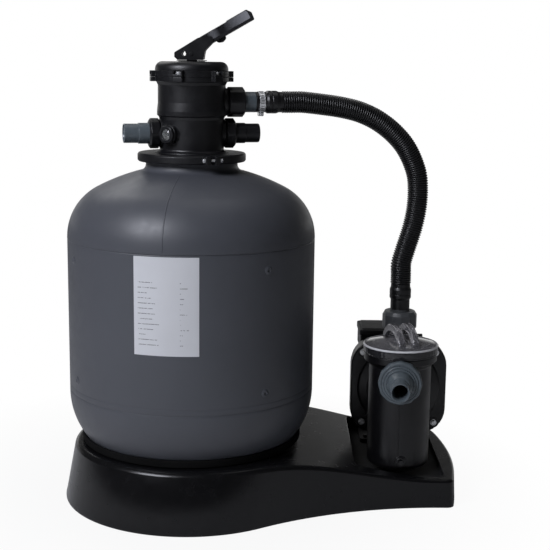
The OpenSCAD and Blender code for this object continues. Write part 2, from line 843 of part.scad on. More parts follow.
module standpipe() {
    color(pvc_grey) translate([0, 0, pipe_z0 + seat_gap])
        ring(pipe_r, pipe_r - pipe_wall, pipe_z1 - pipe_z0);
}

module lateral_places() {
    for (i = [0:lateral_count - 1]) rotate([0, 0, i * 360 / lateral_count])
        translate([hub_r - lateral_in, 0, lateral_z]) along_x() children();
}

module lateral_hub() {
    color(black) difference() {
        translate([0, 0, hub_z]) cylinder(r = hub_r, h = hub_h);
        translate([0, 0, pipe_z0]) cylinder(r = pipe_r + slide_gap, h = hub_h);
        translate([0, 0, lateral_z]) cylinder(r = pipe_r - pipe_wall, h = hub_h);
        lateral_places() cylinder(r = lateral_r + shaft_gap, h = hub_r);
    }
}

module laterals() {
    color(pvc_grey) lateral_places() difference() {
        cylinder(r = lateral_r, h = lateral_l);
        translate([0, 0, -cut]) cylinder(r = lateral_r - lateral_wall, h = lateral_l - lateral_wall);
    }
}

// Rotor: a disc with one window and the stem that carries the handle
tongue_l = 22;

module rotor() {
    flat_z = pin_z - tongue_l;
    color(black) difference() {
        union() {
            translate([0, 0, rotor_z]) cylinder(r = rotor_r, h = rotor_t);
            translate([0, 0, rotor_z]) cylinder(r = stem_r, h = flat_z - rotor_z);
            intersection() {
                translate([0, 0, rotor_z]) cylinder(r = stem_r, h = pin_z + tongue_r - rotor_z);
                union() {
                    translate([-stem_r, -tongue_w / 2, rotor_z])
                        cube([2 * stem_r, tongue_w, pin_z - rotor_z]);
                    translate([0, 0, pin_z]) along_y() cylinder(r = tongue_r, h = tongue_w, center = true);
                }
            }
        }
        in_valve() rotate([0, 0, -window_angle / 2]) translate([0, 0, rotor_z - cut])
            rotate_extrude(angle = window_angle)
                translate([window_r0, 0]) square([window_r1 - window_r0, rotor_t + 2 * cut]);
        translate([0, 0, pin_z]) along_y() cylinder(r = pin_r, h = 2 * handle_w, center = true);
    }
}

// One unbroken tube through rings of points: triangles along the sides, fans at both ends
function tube_faces(rings, sides) = concat(
    [for (i = [0:rings - 2], j = [0:sides - 1])
        [i * sides + j, i * sides + (j + 1) % sides, (i + 1) * sides + j]],
    [for (i = [0:rings - 2], j = [0:sides - 1])
        [i * sides + (j + 1) % sides, (i + 1) * sides + (j + 1) % sides, (i + 1) * sides + j]]
);

// Rotor spring: a helix that stands on the rotor and reaches the cover
spring_sides = 6;
spring_steps = 12;
spring_z0 = rotor_z + rotor_t + spring_wire / 2 + seat_gap;
spring_z1 = cover_z + cover_inside_h - spring_wire / 2 - seat_gap;
spring_rings = spring_turns * spring_steps + 1;
spring_pitch = (spring_z1 - spring_z0) / spring_turns;

function spring_centre(i) = let (a = i * 360 / spring_steps)
    [spring_r * cos(a), spring_r * sin(a), spring_z0 + spring_pitch * i / spring_steps];

spring_points = [for (i = [0:spring_rings - 1], j = [0:spring_sides - 1])
    let (a = i * 360 / spring_steps, b = j * 360 / spring_sides, r = spring_wire / 2)
    spring_centre(i) + r * [cos(b) * cos(a), cos(b) * sin(a), sin(b)]];

// Least gap of the spring to itself, between rings a turn or so apart
spring_gap = min([for (i = [0:spring_rings - 1], k = [spring_steps - 2:spring_steps + 2])
    if (i + k < spring_rings) norm(spring_centre(i + k) - spring_centre(i)) - spring_wire]);
echo(spring_gap = spring_gap);

module rotor_spring() {
    last = (spring_rings - 1) * spring_sides;
    color(steel) polyhedron(
        points = spring_points,
        faces = concat(
            tube_faces(spring_rings, spring_sides),
            [for (j = [1:spring_sides - 2]) [0, j + 1, j]],
            [for (j = [1:spring_sides - 2]) [last, last + j, last + j + 1]]
        )
    );
}

washer_in = 2;
pin_past = 1;

module handle_washer() {
    color([0.5, 0.5, 0.5]) translate([0, 0, washer_z + seat_gap])
        ring(boss_r - washer_in, stem_r + slide_gap, washer_t - seat_gap);
}

module handle_pin() {
    color(steel) translate([0, 0, pin_z]) along_y()
        cylinder(r = pin_r - shaft_gap, h = handle_w + 2 * pin_past, center = true);
}

// Handle, seen from the side with the pin at the origin: the heel that rocks on the washer,
// and the lever that rises from it
lever_angle = 30;
lever_h = 26;
eye_x = -15;
eye_z = 1;
eye_hole_r = 4.5;
slot_l = 40;
slot_h = 32;
slot_z = -4;

function lever_point(along, above) = [
    along * cos(lever_angle) - above * sin(lever_angle),
    along * sin(lever_angle) + above * cos(lever_angle)
];

heel_side = [[-27, -heel_h], [20, -heel_h], [24, 0], [27, 8], lever_point(52, -lever_h / 2 + 12),
    lever_point(30, 22), lever_point(0, 24), [-33, 2], [-33, -6]];
lever_side = [lever_point(10, 0), lever_point(46, -2), lever_point(lever_l, -2), lever_point(lever_l, 13),
    lever_point(lever_l - 8, 22), lever_point(10, 22)];
hook_side = [lever_point(56, -2), lever_point(60, -10), lever_point(74, -10), lever_point(74, -2)];

module handle_slab(side, w) {
    rotate([90, 0, 0]) linear_extrude(height = w, center = true) polygon(side);
}

module handle() {
    color(black) translate([0, 0, pin_z]) difference() {
        union() {
            handle_slab(heel_side, handle_w);
            handle_slab(lever_side, lever_w);
            handle_slab(hook_side, lever_w / 2);
        }
        along_y() cylinder(r = pin_r + shaft_gap, h = 2 * handle_w, center = true);
        translate([eye_x, 0, eye_z]) along_y() cylinder(r = eye_hole_r, h = 2 * handle_w, center = true);
        translate([0, 0, slot_z]) cube([slot_l, tongue_w + 2 * slide_gap, slot_h], center = true);
    }
}

// Hose: a smooth line through the route's points, measured along its length
route_last = len(hose_route) - 1;

function route_point(i) = i < 0 ? 2 * hose_route[0] - hose_route[1]
    : i > route_last ? 2 * hose_route[route_last] - hose_route[route_last - 1]
    : hose_route[i];

function spline(a, b, c, d, t) = b + t * (c - a) / 2 + t * t * (2 * a - 5 * b + 4 * c - d) / 2
    + t * t * t * (3 * b - a - 3 * c + d) / 2;

hose_line = concat(
    [for (k = [0:route_last - 1], j = [0:route_steps - 1])
        spline(route_point(k - 1), route_point(k), route_point(k + 1), route_point(k + 2), j / route_steps)],
    [hose_route[route_last]]
);
line_last = len(hose_line) - 1;
hose_marks = [for (i = 0, l = 0; i <= line_last;
    l = l + norm(hose_line[min(i + 1, line_last)] - hose_line[i]), i = i + 1) l];
hose_len = hose_marks[line_last];
hose_s_table = [for (i = [0:line_last]) [hose_marks[i], hose_line[i][0]]];
hose_z_table = [for (i = [0:line_last]) [hose_marks[i], hose_line[i][1]]];
echo(hose_len = hose_len);

function hose_at(l) = [lookup(l, hose_s_table), lookup(l, hose_z_table)];
function hose_heading(l) =
    let (step = hose_at(min(hose_len, l + 1)) - hose_at(max(0, l - 1)))
    step / norm(step);
function hose_ring(l, r) = let (c = hose_at(l), d = hose_heading(l)) [
    for (j = [0:hose_sides - 1]) let (a = (j + 0.5) * 360 / hose_sides)
        [c[0] - r * cos(a) * d[1], r * sin(a), c[1] + r * cos(a) * d[0]]
];

outer_rings = 2 * hose_ribs + 1;
inner_rings = 30;
inner_start = outer_rings * hose_sides;
hose_points = concat(
    [for (k = [0:outer_rings - 1])
        each hose_ring(hose_len * k / (outer_rings - 1), hose_r - (k % 2 == 0 ? rib_depth : 0))],
    [for (k = [0:inner_rings - 1]) each hose_ring(hose_len * k / (inner_rings - 1), hose_bore / 2)]
);

// Ring of triangles that closes one end between the skin and the bore
function end_faces(outer, inner) = [for (j = [0:hose_sides - 1], half = [0, 1])
    let (n = (j + 1) % hose_sides)
    half == 0 ? [outer + j, inner + j, outer + n] : [inner + j, inner + n, outer + n]];

module hose() {
    outer_last = (outer_rings - 1) * hose_sides;
    inner_last = inner_start + (inner_rings - 1) * hose_sides;
    color(black) in_valve() polyhedron(
        points = hose_points,
        faces = concat(
            tube_faces(outer_rings, hose_sides),
            [for (f = tube_faces(inner_rings, hose_sides))
                [f[2] + inner_start, f[1] + inner_start, f[0] + inner_start]],
            end_faces(0, inner_start),
            [for (f = end_faces(outer_last, inner_last)) [f[2], f[1], f[0]]]
        )
    );
}

// Cuff at each end of the hose: a plain sleeve with one swelling
cuff_r = cuff_bore_r + cuff_wall;
bulge_rise = 4;
bulge_fall = 6;
cuff_end_l = 6;

module hose_cuff() {
    rotate_extrude() polygon([
        [cuff_bore_r, 0], [cuff_r, 0], [cuff_r, cuff_plain_l],
        [cuff_r + cuff_bulge, cuff_plain_l + bulge_rise],
        [cuff_r + cuff_bulge, cuff_l - cuff_end_l - bulge_fall], [cuff_r, cuff_l - cuff_end_l],
        [cuff_r, cuff_l], [cuff_bore_r, cuff_l]
    ]);
}

module hose_cuff_valve() {
    color(black) in_valve() translate([valve_cuff_s, 0, high_port_z]) along_x() hose_cuff();
}

module hose_cuff_pump() {
    color(black) in_pump() translate([0, discharge_y, pump_cuff_z]) hose_cuff();
}

// Worm-drive band on the valve's cuff, with its screw housing hanging below
band_w = 12;
band_t = 1.1;
band_at = 6;
box_inset = 1;
screw_box_w = 16;
screw_box_h = 7;
screw_r = 3.5;
screw_l = 24;
screw_back = 13;
screw_out = 4;

module hose_clamp() {
    color(steel) in_valve() translate([valve_cuff_s + band_at, 0, high_port_z]) along_x() {
        ring(cuff_r + band_t, cuff_r + shaft_gap, band_w);
        translate([cuff_r + band_t / 2, -screw_box_w / 2, box_inset])
            cube([screw_box_h, screw_box_w, band_w - 2 * box_inset]);
        translate([cuff_r + screw_out, -screw_back, band_w / 2]) along_y()
            cylinder(r = screw_r, h = screw_l);
    }
}

// Pump
discharge_lip_r = collar_r + slide_gap;
discharge_nut_z = discharge_nozzle_z + seal_t + tail_flange_t + nut_lip_t - discharge_nut_l;

module discharge_nut() {
    color(black) in_pump() translate([0, discharge_y, discharge_nut_z])
        union_nut(discharge_nut_r, discharge_nut_l, discharge_nozzle_r + slide_gap, discharge_lip_r, 12);
}

module discharge_tail() {
    color(pvc_grey) in_pump() translate([0, discharge_y, discharge_nozzle_z + seal_t])
        hose_tail(discharge_nozzle_r - pump_flange_in, collar_r, discharge_collar_l,
            cuff_tail_r, cuff_tail_l, cuff_tail_bore_r);
}

pot_corner = 18;
stop_slope = 8;
ledge_w = 4;
lid_stop_z = lid_z - lid_skirt_h - 2 * seat_gap;
inlet_r = 34;
web_t = 12;
web_h = 9;
web_lap = 6;
channel_in = 8;
discharge_floor = 4;
channel_r = 12;
plug_z = pot_z0 + 22;
plug_r = 6;
plug_boss_r = 12;
plug_boss_h = 2;
plug_boss_in = 5;
plug_bore_in = 4;
plug_disc_t = 3;
plug_hex_over = 2;
plug_hex_z = 2;
plug_hex_l = 7;

module pot_skin() {
    translate([pot_x, pot_y, 0]) rotate_extrude() polygon(concat(
        [[0, pot_z0]],
        arc([pot_r - pot_corner, pot_z0 + pot_corner], pot_corner, -90, 0, 6),
        [[pot_r, lid_stop_z - lid_stop_t - stop_slope], [lid_stop_r, lid_stop_z - lid_stop_t],
         [lid_stop_r, lid_stop_z], [thread_r, lid_stop_z], [thread_r, pot_top_z], [0, pot_top_z]]
    ));
    translate([pot_x, pot_y - pot_r + plug_boss_in, plug_z]) rotate([90, 0, 0])
        cylinder(r = plug_boss_r, h = plug_boss_in + plug_boss_h);
}

module casing_skin() {
    at_shaft(casing_y0) round_plate(casing_w, casing_w, casing_corner, casing_t);
    at_shaft(pot_y + pot_r / 2) cylinder(r = inlet_r, h = casing_y0 - pot_y - pot_r / 2 + cut);
    // Four webs on the casing's face, from the inlet to the bolt corners
    for (a = [45:90:315]) at_shaft(casing_y0 - web_h) rotate([0, 0, a])
        translate([inlet_r - web_lap, -web_t / 2, 0]) cube([casing_w / 2 - web_lap, web_t, web_h + cut]);
    translate([-discharge_nozzle_r, casing_y0, shaft_z])
        cube([2 * discharge_nozzle_r, casing_t, discharge_z - shaft_z]);
    translate([0, discharge_y, discharge_z - cut])
        cylinder(r = discharge_nozzle_r, h = discharge_nozzle_z - discharge_z + cut);
}

// Puts a piece on the suction line, so far out from the middle of the pot
module at_suction(out) {
    translate([pot_x, pot_y, suction_z]) rotate([0, 0, -suction_turn]) translate([0, -out, 0])
        rotate([90, 0, 0]) children();
}

module pump_body() {
    color(black) in_pump() difference() {
        union() {
            pot_skin();
            casing_skin();
            at_suction(pot_r / 2) cylinder(r = suction_nozzle_r, h = suction_reach - pot_r / 2);
        }
        translate([pot_x, pot_y, pot_z0 + pot_wall]) cylinder(r = pot_r - pot_wall, h = pot_h + plinth_h);
        translate([pot_x, pot_y, pot_top_z - basket_ledge])
            cylinder(r = pot_r - pot_wall + ledge_w, h = plinth_h);
        at_suction(pot_r / 2) cylinder(r = suction_bore_r, h = 2 * pot_r);
        at_shaft(pot_y + pot_r / 2) cylinder(r = eye_r, h = casing_gap + pot_r / 2 + casing_wall + cut);
        at_shaft(casing_y0 + casing_wall) cylinder(r = volute_r, h = casing_t);
        translate([0, discharge_y, shaft_z + volute_r - channel_in]) cylinder(r = channel_r, h = casing_w);
        translate([0, discharge_y, discharge_z + discharge_floor])
            cylinder(r = discharge_bore_r, h = casing_w);
        for (p = casing_corners) at_shaft(casing_y0 - 2 * web_h) translate(p)
            cylinder(r = casing_bolt_r + shaft_gap, h = casing_t + 3 * web_h);
        for (p = casing_corners) at_shaft(casing_y0 - 2 * web_h) translate(p)
            cylinder(r = bolt_face_r, h = 2 * web_h);
        translate([pot_x, pot_y - pot_r + pot_wall + plug_bore_in, plug_z]) rotate([90, 0, 0])
            cylinder(r = plug_r + shaft_gap, h = pot_r);
    }
}

module pump_drain_plug() {
    plug_y = pot_y - pot_r - plug_boss_h;
    color(black) in_pump() translate([pot_x, plug_y, plug_z]) rotate([90, 0, 0]) {
        translate([0, 0, -plug_boss_h - pot_wall]) cylinder(r = plug_r, h = plug_boss_h + pot_wall + cut);
        cylinder(r = plug_boss_r, h = plug_disc_t);
        translate([0, 0, plug_hex_z]) cylinder(r = plug_r + plug_hex_over, h = plug_hex_l, $fn = 6);
    }
}

// Strainer basket: a slotted cup hung on the pot's ledge, open towards the inlet
basket_z0 = pot_z0 + 20;
basket_wall = 2.5;
slot_rows = 3;
slot_w = 4;
slot_bridge = 8;
slot_start = 12;
slot_margin = 20;

module strainer_basket() {
    basket_h = pot_top_z - basket_ledge - basket_z0;
    row_h = (basket_h - slot_margin) / slot_rows;
    color(pvc_grey) in_pump() translate([pot_x, pot_y, basket_z0]) difference() {
        union() {
            cylinder(r = basket_r, h = basket_h + cut);
            translate([0, 0, basket_h])
                cylinder(r = pot_r - pot_wall + ledge_w - slide_gap, h = basket_rim_t);
        }
        translate([0, 0, basket_wall]) cylinder(r = basket_r - basket_wall, h = 2 * basket_h);
        for (k = [0:slot_rows - 1], a = [0:30:150]) rotate([0, 0, a])
            translate([0, 0, slot_start + (k + 0.5) * row_h])
                cube([3 * basket_r, slot_w, row_h - slot_bridge], center = true);
        rotate([0, 0, -suction_turn]) translate([0, -basket_r, suction_z - basket_z0]) along_y()
            cylinder(r = suction_bore_r, h = basket_r, center = true);
    }
}

lid_seal_out = 1;
lid_seal_in = 5;

module lid_seal() {
    color(rubber) in_pump() translate([pot_x, pot_y, pot_top_z + seat_gap])
        ring(thread_r - lid_seal_out, pot_r - pot_wall + lid_seal_in, lid_seal_t);
}

// Clear domed screw lid with two arched grip bars across its top
bar_l = 112;
bar_w = 13;
bar_h = 40;
bar_apart = 15;
bar_turn = -76;
bar_r = (pow(bar_l / 2, 2) + pow(bar_h, 2)) / (2 * bar_h);
bar_angle = asin(bar_l / 2 / bar_r);
dome_steps = 12;
dome_flat_r = 8;

// Half of a low dome, from its edge up to the small flat in the middle
function dome_curve(edge_r, rise) = let (
    r = (pow(edge_r, 2) + pow(rise, 2)) / (2 * rise),
    curve = arc([0, rise - r], r, 90 - asin(edge_r / r), 90 - asin(dome_flat_r / r), dome_steps)
) [each curve, [0, curve[len(curve) - 1][1]]];

function flipped(points) = [for (i = [len(points) - 1:-1:0]) points[i]];
function lifted(points, by) = [for (p = points) [p[0], p[1] + by]];

module grip_bar() {
    rotate([90, 0, 0]) linear_extrude(height = bar_w, center = true)
        polygon(arc([0, bar_h - bar_r], bar_r, 90 - bar_angle, 90 + bar_angle, 12));
}

module strainer_lid() {
    color(clear_grey) in_pump() translate([pot_x, pot_y, lid_z]) {
        rotate_extrude() polygon([
            [lid_r - lid_wall, 0], [lid_r - lid_wall, -lid_skirt_h], [lid_r, -lid_skirt_h], [lid_r, 0],
            each lifted(dome_curve(lid_r - lid_t, lid_dome_h), lid_t),
            each flipped(dome_curve(pot_r - pot_wall, lid_dome_h))
        ]);
        rotate([0, 0, bar_turn]) for (side = [-1, 1])
            translate([0, side * bar_apart, lid_t - cut]) grip_bar();
    }
}

suction_lip_r = 27;
cone_step = 2;

module suction_nut() {
    top = seal_t + tail_flange_t + nut_lip_t;
    color(pvc_grey) in_pump() at_suction(suction_reach - suction_nut_l + top)
        union_nut(suction_nut_r, suction_nut_l, suction_nozzle_r + slide_gap, suction_lip_r + slide_gap, 12);
}

module suction_tail() {
    cone_z = tail_flange_t + nut_lip_t + cone_step;
    end_z = cone_z + suction_cone_l + suction_barrel_l;
    flange = suction_nozzle_r - pump_flange_in;
    color(pvc_grey) in_pump() at_suction(suction_reach + seal_t)
        rotate_extrude() polygon([
            [tail_bore_r, 0], [flange, 0], [flange, tail_flange_t], [suction_lip_r, tail_flange_t],
            [suction_lip_r, cone_z], [tail_r + cone_step, cone_z + suction_cone_l],
            [tail_r, cone_z + suction_cone_l], [tail_r, end_z - tail_chamfer],
            [tail_r - tail_chamfer, end_z], [tail_bore_r, end_z]
        ]);
}

// Seal plate: closes the volute and carries the shaft seal and the front bearing
seal_pocket_r = 14;
seal_pocket_t = 7;
bolt_head_t = 6;
bolt_face_r = 12;
bolt_past = 4;
plate_in = 3;
shaft_room = 1;

module seal_plate() {
    color(black) in_pump() at_shaft(plate_y0) difference() {
        round_plate(casing_w - 2 * plate_in, casing_w - 2 * plate_in, casing_corner - plate_in, plate_t);
        translate([0, 0, -cut]) cylinder(r = shaft_r + shaft_room, h = plate_t + 2 * cut);
        translate([0, 0, -cut]) cylinder(r = seal_pocket_r, h = seal_pocket_t + cut);
        translate([0, 0, plate_t - bearing_t]) cylinder(r = bearing_r + shaft_gap, h = bearing_t + cut);
        for (p = casing_corners) translate(p) translate([0, 0, -cut])
            cylinder(r = casing_bolt_r + shaft_gap, h = plate_t + 2 * cut);
    }
}

module casing_bolts() {
    color(steel) in_pump() for (p = casing_corners) at_shaft(casing_y0) translate(p) {
        cylinder(r = casing_bolt_r, h = casing_t + casing_seal_t + plate_t + bolt_past);
        translate([0, 0, -bolt_head_t]) cylinder(r = 2 * casing_bolt_r, h = bolt_head_t, $fn = 6);
    }
}

module mechanical_seal() {
    color(rubber) in_pump() at_shaft(plate_y0 + seat_gap)
        ring(seal_pocket_r - seat_gap, shaft_r + slide_gap, seal_pocket_t - 2 * seat_gap);
}

// Turning parts of the pump, all on one shaft
impeller_r = 55;
impeller_gap = 3;
impeller_y = casing_y0 + casing_wall + impeller_gap;
impeller_w = 20;
impeller_disc_t = 5;
hub_wall = 6;
blade_t = 3;
blade_in = 2;
blade_z = 4;
blade_turn = 28;
blade_short = 8;
blade_low = 6;
shaft_end_y = shield_y1 + 24;

module impeller() {
    color(black) in_pump() at_shaft(impeller_y) difference() {
        union() {
            cylinder(r = shaft_r + hub_wall, h = impeller_w);
            translate([0, 0, impeller_w - impeller_disc_t]) cylinder(r = impeller_r, h = impeller_disc_t);
            for (a = [0:60:300]) rotate([0, 0, a])
                translate([shaft_r + blade_in, 0, blade_z]) rotate([0, 0, blade_turn])
                    cube([impeller_r - shaft_r - blade_in - blade_short, blade_t, impeller_w - blade_low]);
        }
        translate([0, 0, -cut]) cylinder(r = shaft_r + shaft_gap, h = impeller_w + 2 * cut);
    }
}

module motor_shaft() {
    color(steel) in_pump() at_shaft(impeller_y) cylinder(r = shaft_r, h = shaft_end_y - impeller_y);
}

module motor_rotor() {
    color(steel) in_pump() at_shaft(core_y0) ring(stator_bore_r - core_gap, shaft_r + shaft_gap, core_l);
}

fan_in = 4;
fan_gap = 5;
fan_hub_l = 17;
fan_blade_l = 16;

module motor_fan() {
    fan_r = frame_r - fan_in;
    color(black) in_pump() at_shaft(shield_y1 + fan_gap) difference() {
        union() {
            cylinder(r = shaft_r + hub_wall, h = fan_hub_l);
            cylinder(r = fan_r / 2, h = blade_t);
            for (a = [0:60:300]) rotate([0, 0, a]) translate([shaft_r + blade_in, -blade_t / 2, 0])
                cube([fan_r - shaft_r - blade_in, blade_t, fan_blade_l]);
        }
        translate([0, 0, -cut]) cylinder(r = shaft_r + shaft_gap, h = fan_space);
    }
}

// Motor: finned frame, stator with its end windings, bearings, rear shield and fan cover
fin_root = 2;
fin_end = 4;

module motor_frame() {
    color(black) in_pump() at_shaft(motor_y0) difference() {
        union() {
            cylinder(r = frame_r, h = motor_l);
            for (i = [0:fin_count - 1]) rotate([0, 0, i * 360 / fin_count])
                translate([frame_r - fin_root, -fin_t / 2, fin_end])
                    cube([motor_r - frame_r + fin_root, fin_t, motor_l - 2 * fin_end]);
        }
        translate([0, 0, -cut]) cylinder(r = stator_r, h = motor_l + 2 * cut);
    }
}

winding_l = 14;
winding_out = 4;
winding_in = 3;

module stator() {
    in_pump() {
        color(steel) at_shaft(core_y0) ring(stator_r - shaft_gap, stator_bore_r, core_l);
        color(copper) for (y = [core_y0 - winding_l, core_y0 + core_l])
            at_shaft(y) ring(stator_r - winding_out, stator_bore_r + winding_in, winding_l);
    }
}

module motor_bearings() {
    color(steel) in_pump() for (y = [motor_y0 - bearing_t, motor_y1])
        at_shaft(y) ring(bearing_r, shaft_r + shaft_gap, bearing_t);
}

cover_over = 7;
cover_r = frame_r + cover_over;
cover_step = 2;
vent_r0 = 18;
vent_w = 6;
vent_edge = 10;

module rear_shield() {
    color(black) in_pump() at_shaft(motor_y1) difference() {
        cylinder(r = cover_r - cover_wall - slide_gap, h = shield_t);
        translate([0, 0, -cut]) cylinder(r = bearing_r + shaft_gap, h = bearing_t + cut);
        cylinder(r = shaft_r + shaft_room, h = 2 * shield_t);
    }
}

module fan_cover() {
    cup_h = shield_t - cover_step + fan_space + cover_wall;
    color(black) in_pump() at_shaft(motor_y1 + cover_step) difference() {
        cylinder(r = cover_r, h = cup_h);
        translate([0, 0, -cut]) cylinder(r = cover_r - cover_wall, h = cup_h - cover_wall + cut);
        for (a = [0:30:330]) rotate([0, 0, a]) translate([vent_r0, -vent_w / 2, cup_h - 2 * cover_wall])
            cube([cover_r - vent_r0 - vent_edge, vent_w, 3 * cover_wall]);
    }
}

// Terminal box on the motor's back, with its lid and the cable gland
box_wall = 4;
box_corner = 8;
box_lid_over = 2;
box_x0 = box_dx - box_w / 2;
box_z0 = shaft_z + frame_r - 20;
box_rim_z = box_top_z - box_lid_t;
gland_z = box_rim_z - 12;
gland_thread_r = gland_r - 3;
gland_cap_r = gland_r - 2;
gland_bore_r = gland_r - 5;
gland_nut_l = 10;
gland_l = 22;

module terminal_box() {
    color(black) in_pump() difference() {
        translate([box_x0, box_y, box_z0]) cube([box_w, box_l, box_rim_z - box_z0]);
        at_shaft(motor_y0 - cut) cylinder(r = motor_r + seat_gap, h = motor_l + box_l);
        translate([box_x0 + box_wall, box_y + box_wall, shaft_z + motor_r + box_wall])
            cube([box_w - 2 * box_wall, box_l - 2 * box_wall, box_w]);
        translate([box_x0 + box_w / 2, box_y + box_l / 2, gland_z]) along_x()
            cylinder(r = gland_thread_r + shaft_gap, h = box_w);
    }
}

module terminal_box_lid() {
    color(black) in_pump() translate([box_dx, box_y + box_l / 2, box_rim_z + seat_gap]) difference() {
        round_plate(box_w + 2 * box_lid_over, box_l + 2 * box_lid_over, box_corner, box_lid_t - seat_gap);
        cube([box_w - 2 * box_wall, box_l - 2 * box_wall, box_lid_t], center = true);
    }
}

module cable_gland() {
    color(black) in_pump() translate([box_x0 + box_w, box_y + box_l / 2, gland_z]) along_x() difference() {
        union() {
            translate([0, 0, -box_wall]) cylinder(r = gland_thread_r, h = box_wall + cut);
            cylinder(r = gland_r, h = gland_nut_l, $fn = 6);
            cylinder(r = gland_cap_r, h = gland_l);
        }
        translate([0, 0, -2 * box_wall]) cylinder(r = gland_bore_r, h = 2 * gland_l);
    }
}

// Foot: a plate screwed to the tray, with two upright webs hollowed out to carry the motor
foot_corner = 10;
cradle_w = 100;
cradle_t = 14;
foot_head_r = 6;
foot_head_h = 5;
thread_past = 3;

module pump_foot() {
    color(black) in_pump() difference() {
        union() {
            translate([0, foot_y + foot_l / 2, tray_z])
                round_plate(foot_w, foot_l, foot_corner, foot_plate_t);
            for (y = [foot_y, foot_y + foot_l - cradle_t]) translate([-cradle_w / 2, y, tray_z])
                cube([cradle_w, cradle_t, shaft_z - motor_r / 2 - tray_z]);
            translate([-cradle_t / 2, foot_y, tray_z]) cube([cradle_t, foot_l, shaft_z - motor_r - tray_z]);
        }
        at_shaft(foot_y - cut) cylinder(r = motor_r + seat_gap, h = foot_l + 2 * cut);
        for (p = foot_screw_places) translate([p[0], p[1], 0])
            cylinder(r = foot_screw_r + shaft_gap, h = tray_z + foot_plate_t + cut);
    }
}

module foot_screws() {
    grip = foot_plate_t + plinth_wall + thread_past;
    color(steel) in_pump() for (p = foot_screw_places) translate([p[0], p[1], tray_z + foot_plate_t]) {
        translate([0, 0, -grip]) cylinder(r = foot_screw_r, h = grip + cut);
        cylinder(r = foot_head_r, h = foot_head_h, $fn = 6);
    }
}

base_plinth();
tank_foot_ring();
tank_shell();
tank_label();
tank_drain_plug();
neck_gasket();
neck_clamp_front();
neck_clamp_rear();
clamp_bolts();
valve_body();
spider_gasket();
cover_seals();
valve_cover();
cover_screws();
sight_glass();
sight_glass_ring();
pump_port_nut();
pump_port_tail();
lower_port_nuts();
return_tail();
waste_tail();
flat_seals();
standpipe();
lateral_hub();
laterals();
rotor();
rotor_spring();
handle_washer();
handle_pin();
handle();
hose_cuff_valve();
hose();
hose_cuff_pump();
hose_clamp();
discharge_nut();
discharge_tail();
pump_body();
strainer_basket();
lid_seal();
strainer_lid();
pump_drain_plug();
suction_nut();
suction_tail();
seal_plate();
casing_bolts();
mechanical_seal();
impeller();
motor_shaft();
motor_rotor();
motor_frame();
stator();
motor_bearings();
rear_shield();
motor_fan();
fan_cover();
terminal_box();
terminal_box_lid();
cable_gland();
pump_foot();
foot_screws();
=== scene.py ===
import json
from math import acos, asin, atan2, cos, degrees, hypot, pi, radians, sin, sqrt, tan

import bmesh
import bpy
from mathutils import Matrix, Vector


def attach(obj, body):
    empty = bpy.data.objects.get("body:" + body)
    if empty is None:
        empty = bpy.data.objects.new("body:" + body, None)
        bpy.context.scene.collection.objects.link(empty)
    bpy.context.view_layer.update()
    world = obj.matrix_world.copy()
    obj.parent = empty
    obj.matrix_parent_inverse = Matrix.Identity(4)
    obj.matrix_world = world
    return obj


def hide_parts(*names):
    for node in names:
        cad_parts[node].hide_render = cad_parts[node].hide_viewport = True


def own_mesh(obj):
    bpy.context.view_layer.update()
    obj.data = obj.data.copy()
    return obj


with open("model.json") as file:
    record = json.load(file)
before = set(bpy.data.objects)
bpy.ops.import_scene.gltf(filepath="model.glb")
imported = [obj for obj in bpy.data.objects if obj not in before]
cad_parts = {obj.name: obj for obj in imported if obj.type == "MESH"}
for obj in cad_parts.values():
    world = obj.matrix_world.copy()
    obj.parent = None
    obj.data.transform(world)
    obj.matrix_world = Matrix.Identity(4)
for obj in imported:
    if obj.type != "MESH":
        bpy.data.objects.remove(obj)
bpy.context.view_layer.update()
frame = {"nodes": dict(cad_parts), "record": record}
scene = bpy.context.scene
scene.view_settings.view_transform = "Standard"

# Shapes are drawn in millimetres, in the CAD frame, and become metres when a piece is made
MM = 0.001
IN_VALVE = Matrix.Rotation(radians(14.281), 4, "Z")

CAMERA_SPOT, CAMERA_TILT, CAMERA_ROLL = (0.170, -2.328, 0.883), 79.6, 0.7
SENSOR_WIDTH, LENS = 36.0, 75.67


def place_camera():
    """The photograph's view: a long lens a little above the tank's shoulder."""
    data = bpy.data.cameras.new("camera")
    data.sensor_width, data.lens = SENSOR_WIDTH, LENS
    camera = bpy.data.objects.new("camera", data)
    tilt = Matrix.Rotation(radians(CAMERA_TILT), 4, "X")
    roll = Matrix.Rotation(radians(CAMERA_ROLL), 4, "Z")
    camera.matrix_world = Matrix.Translation(CAMERA_SPOT) @ tilt @ roll
    scene.collection.objects.link(camera)
    scene.camera = camera


place_camera()


# Node helpers for the finishes; a new node joins the tree of the socket that it is given

MIX_FIRST, MIX_SECOND, MIX_RESULT = 6, 7, 2  # sockets of a colour mix


def feed(node, inputs):
    """Links or sets a node's inputs."""
    for socket, value in inputs.items():
        if isinstance(value, bpy.types.NodeSocket):
            node.id_data.links.new(value, node.inputs[socket])
        else:
            node.inputs[socket].default_value = value


def add_node(tree, kind, inputs=None, **settings):
    """Adds a node, sets its options and feeds its inputs."""
    made = tree.nodes.new("ShaderNode" + kind)
    for key, value in settings.items():
        setattr(made, key, value)
    feed(made, inputs or {})
    return made


def noise(where, scale, detail=3.0, rough=0.55):
    inputs = {"Vector": where, "Scale": scale, "Detail": detail, "Roughness": rough}
    return add_node(where.id_data, "TexNoise", inputs).outputs["Fac"]


def spread(value, low, high, from_low=0.3, from_high=0.7):
    """Maps a value to the range from low to high; a noise value needs no other limits."""
    inputs = {"Value": value, "From Min": from_low, "From Max": from_high, "To Min": low, "To Max": high}
    return add_node(value.id_data, "MapRange", inputs).outputs["Result"]


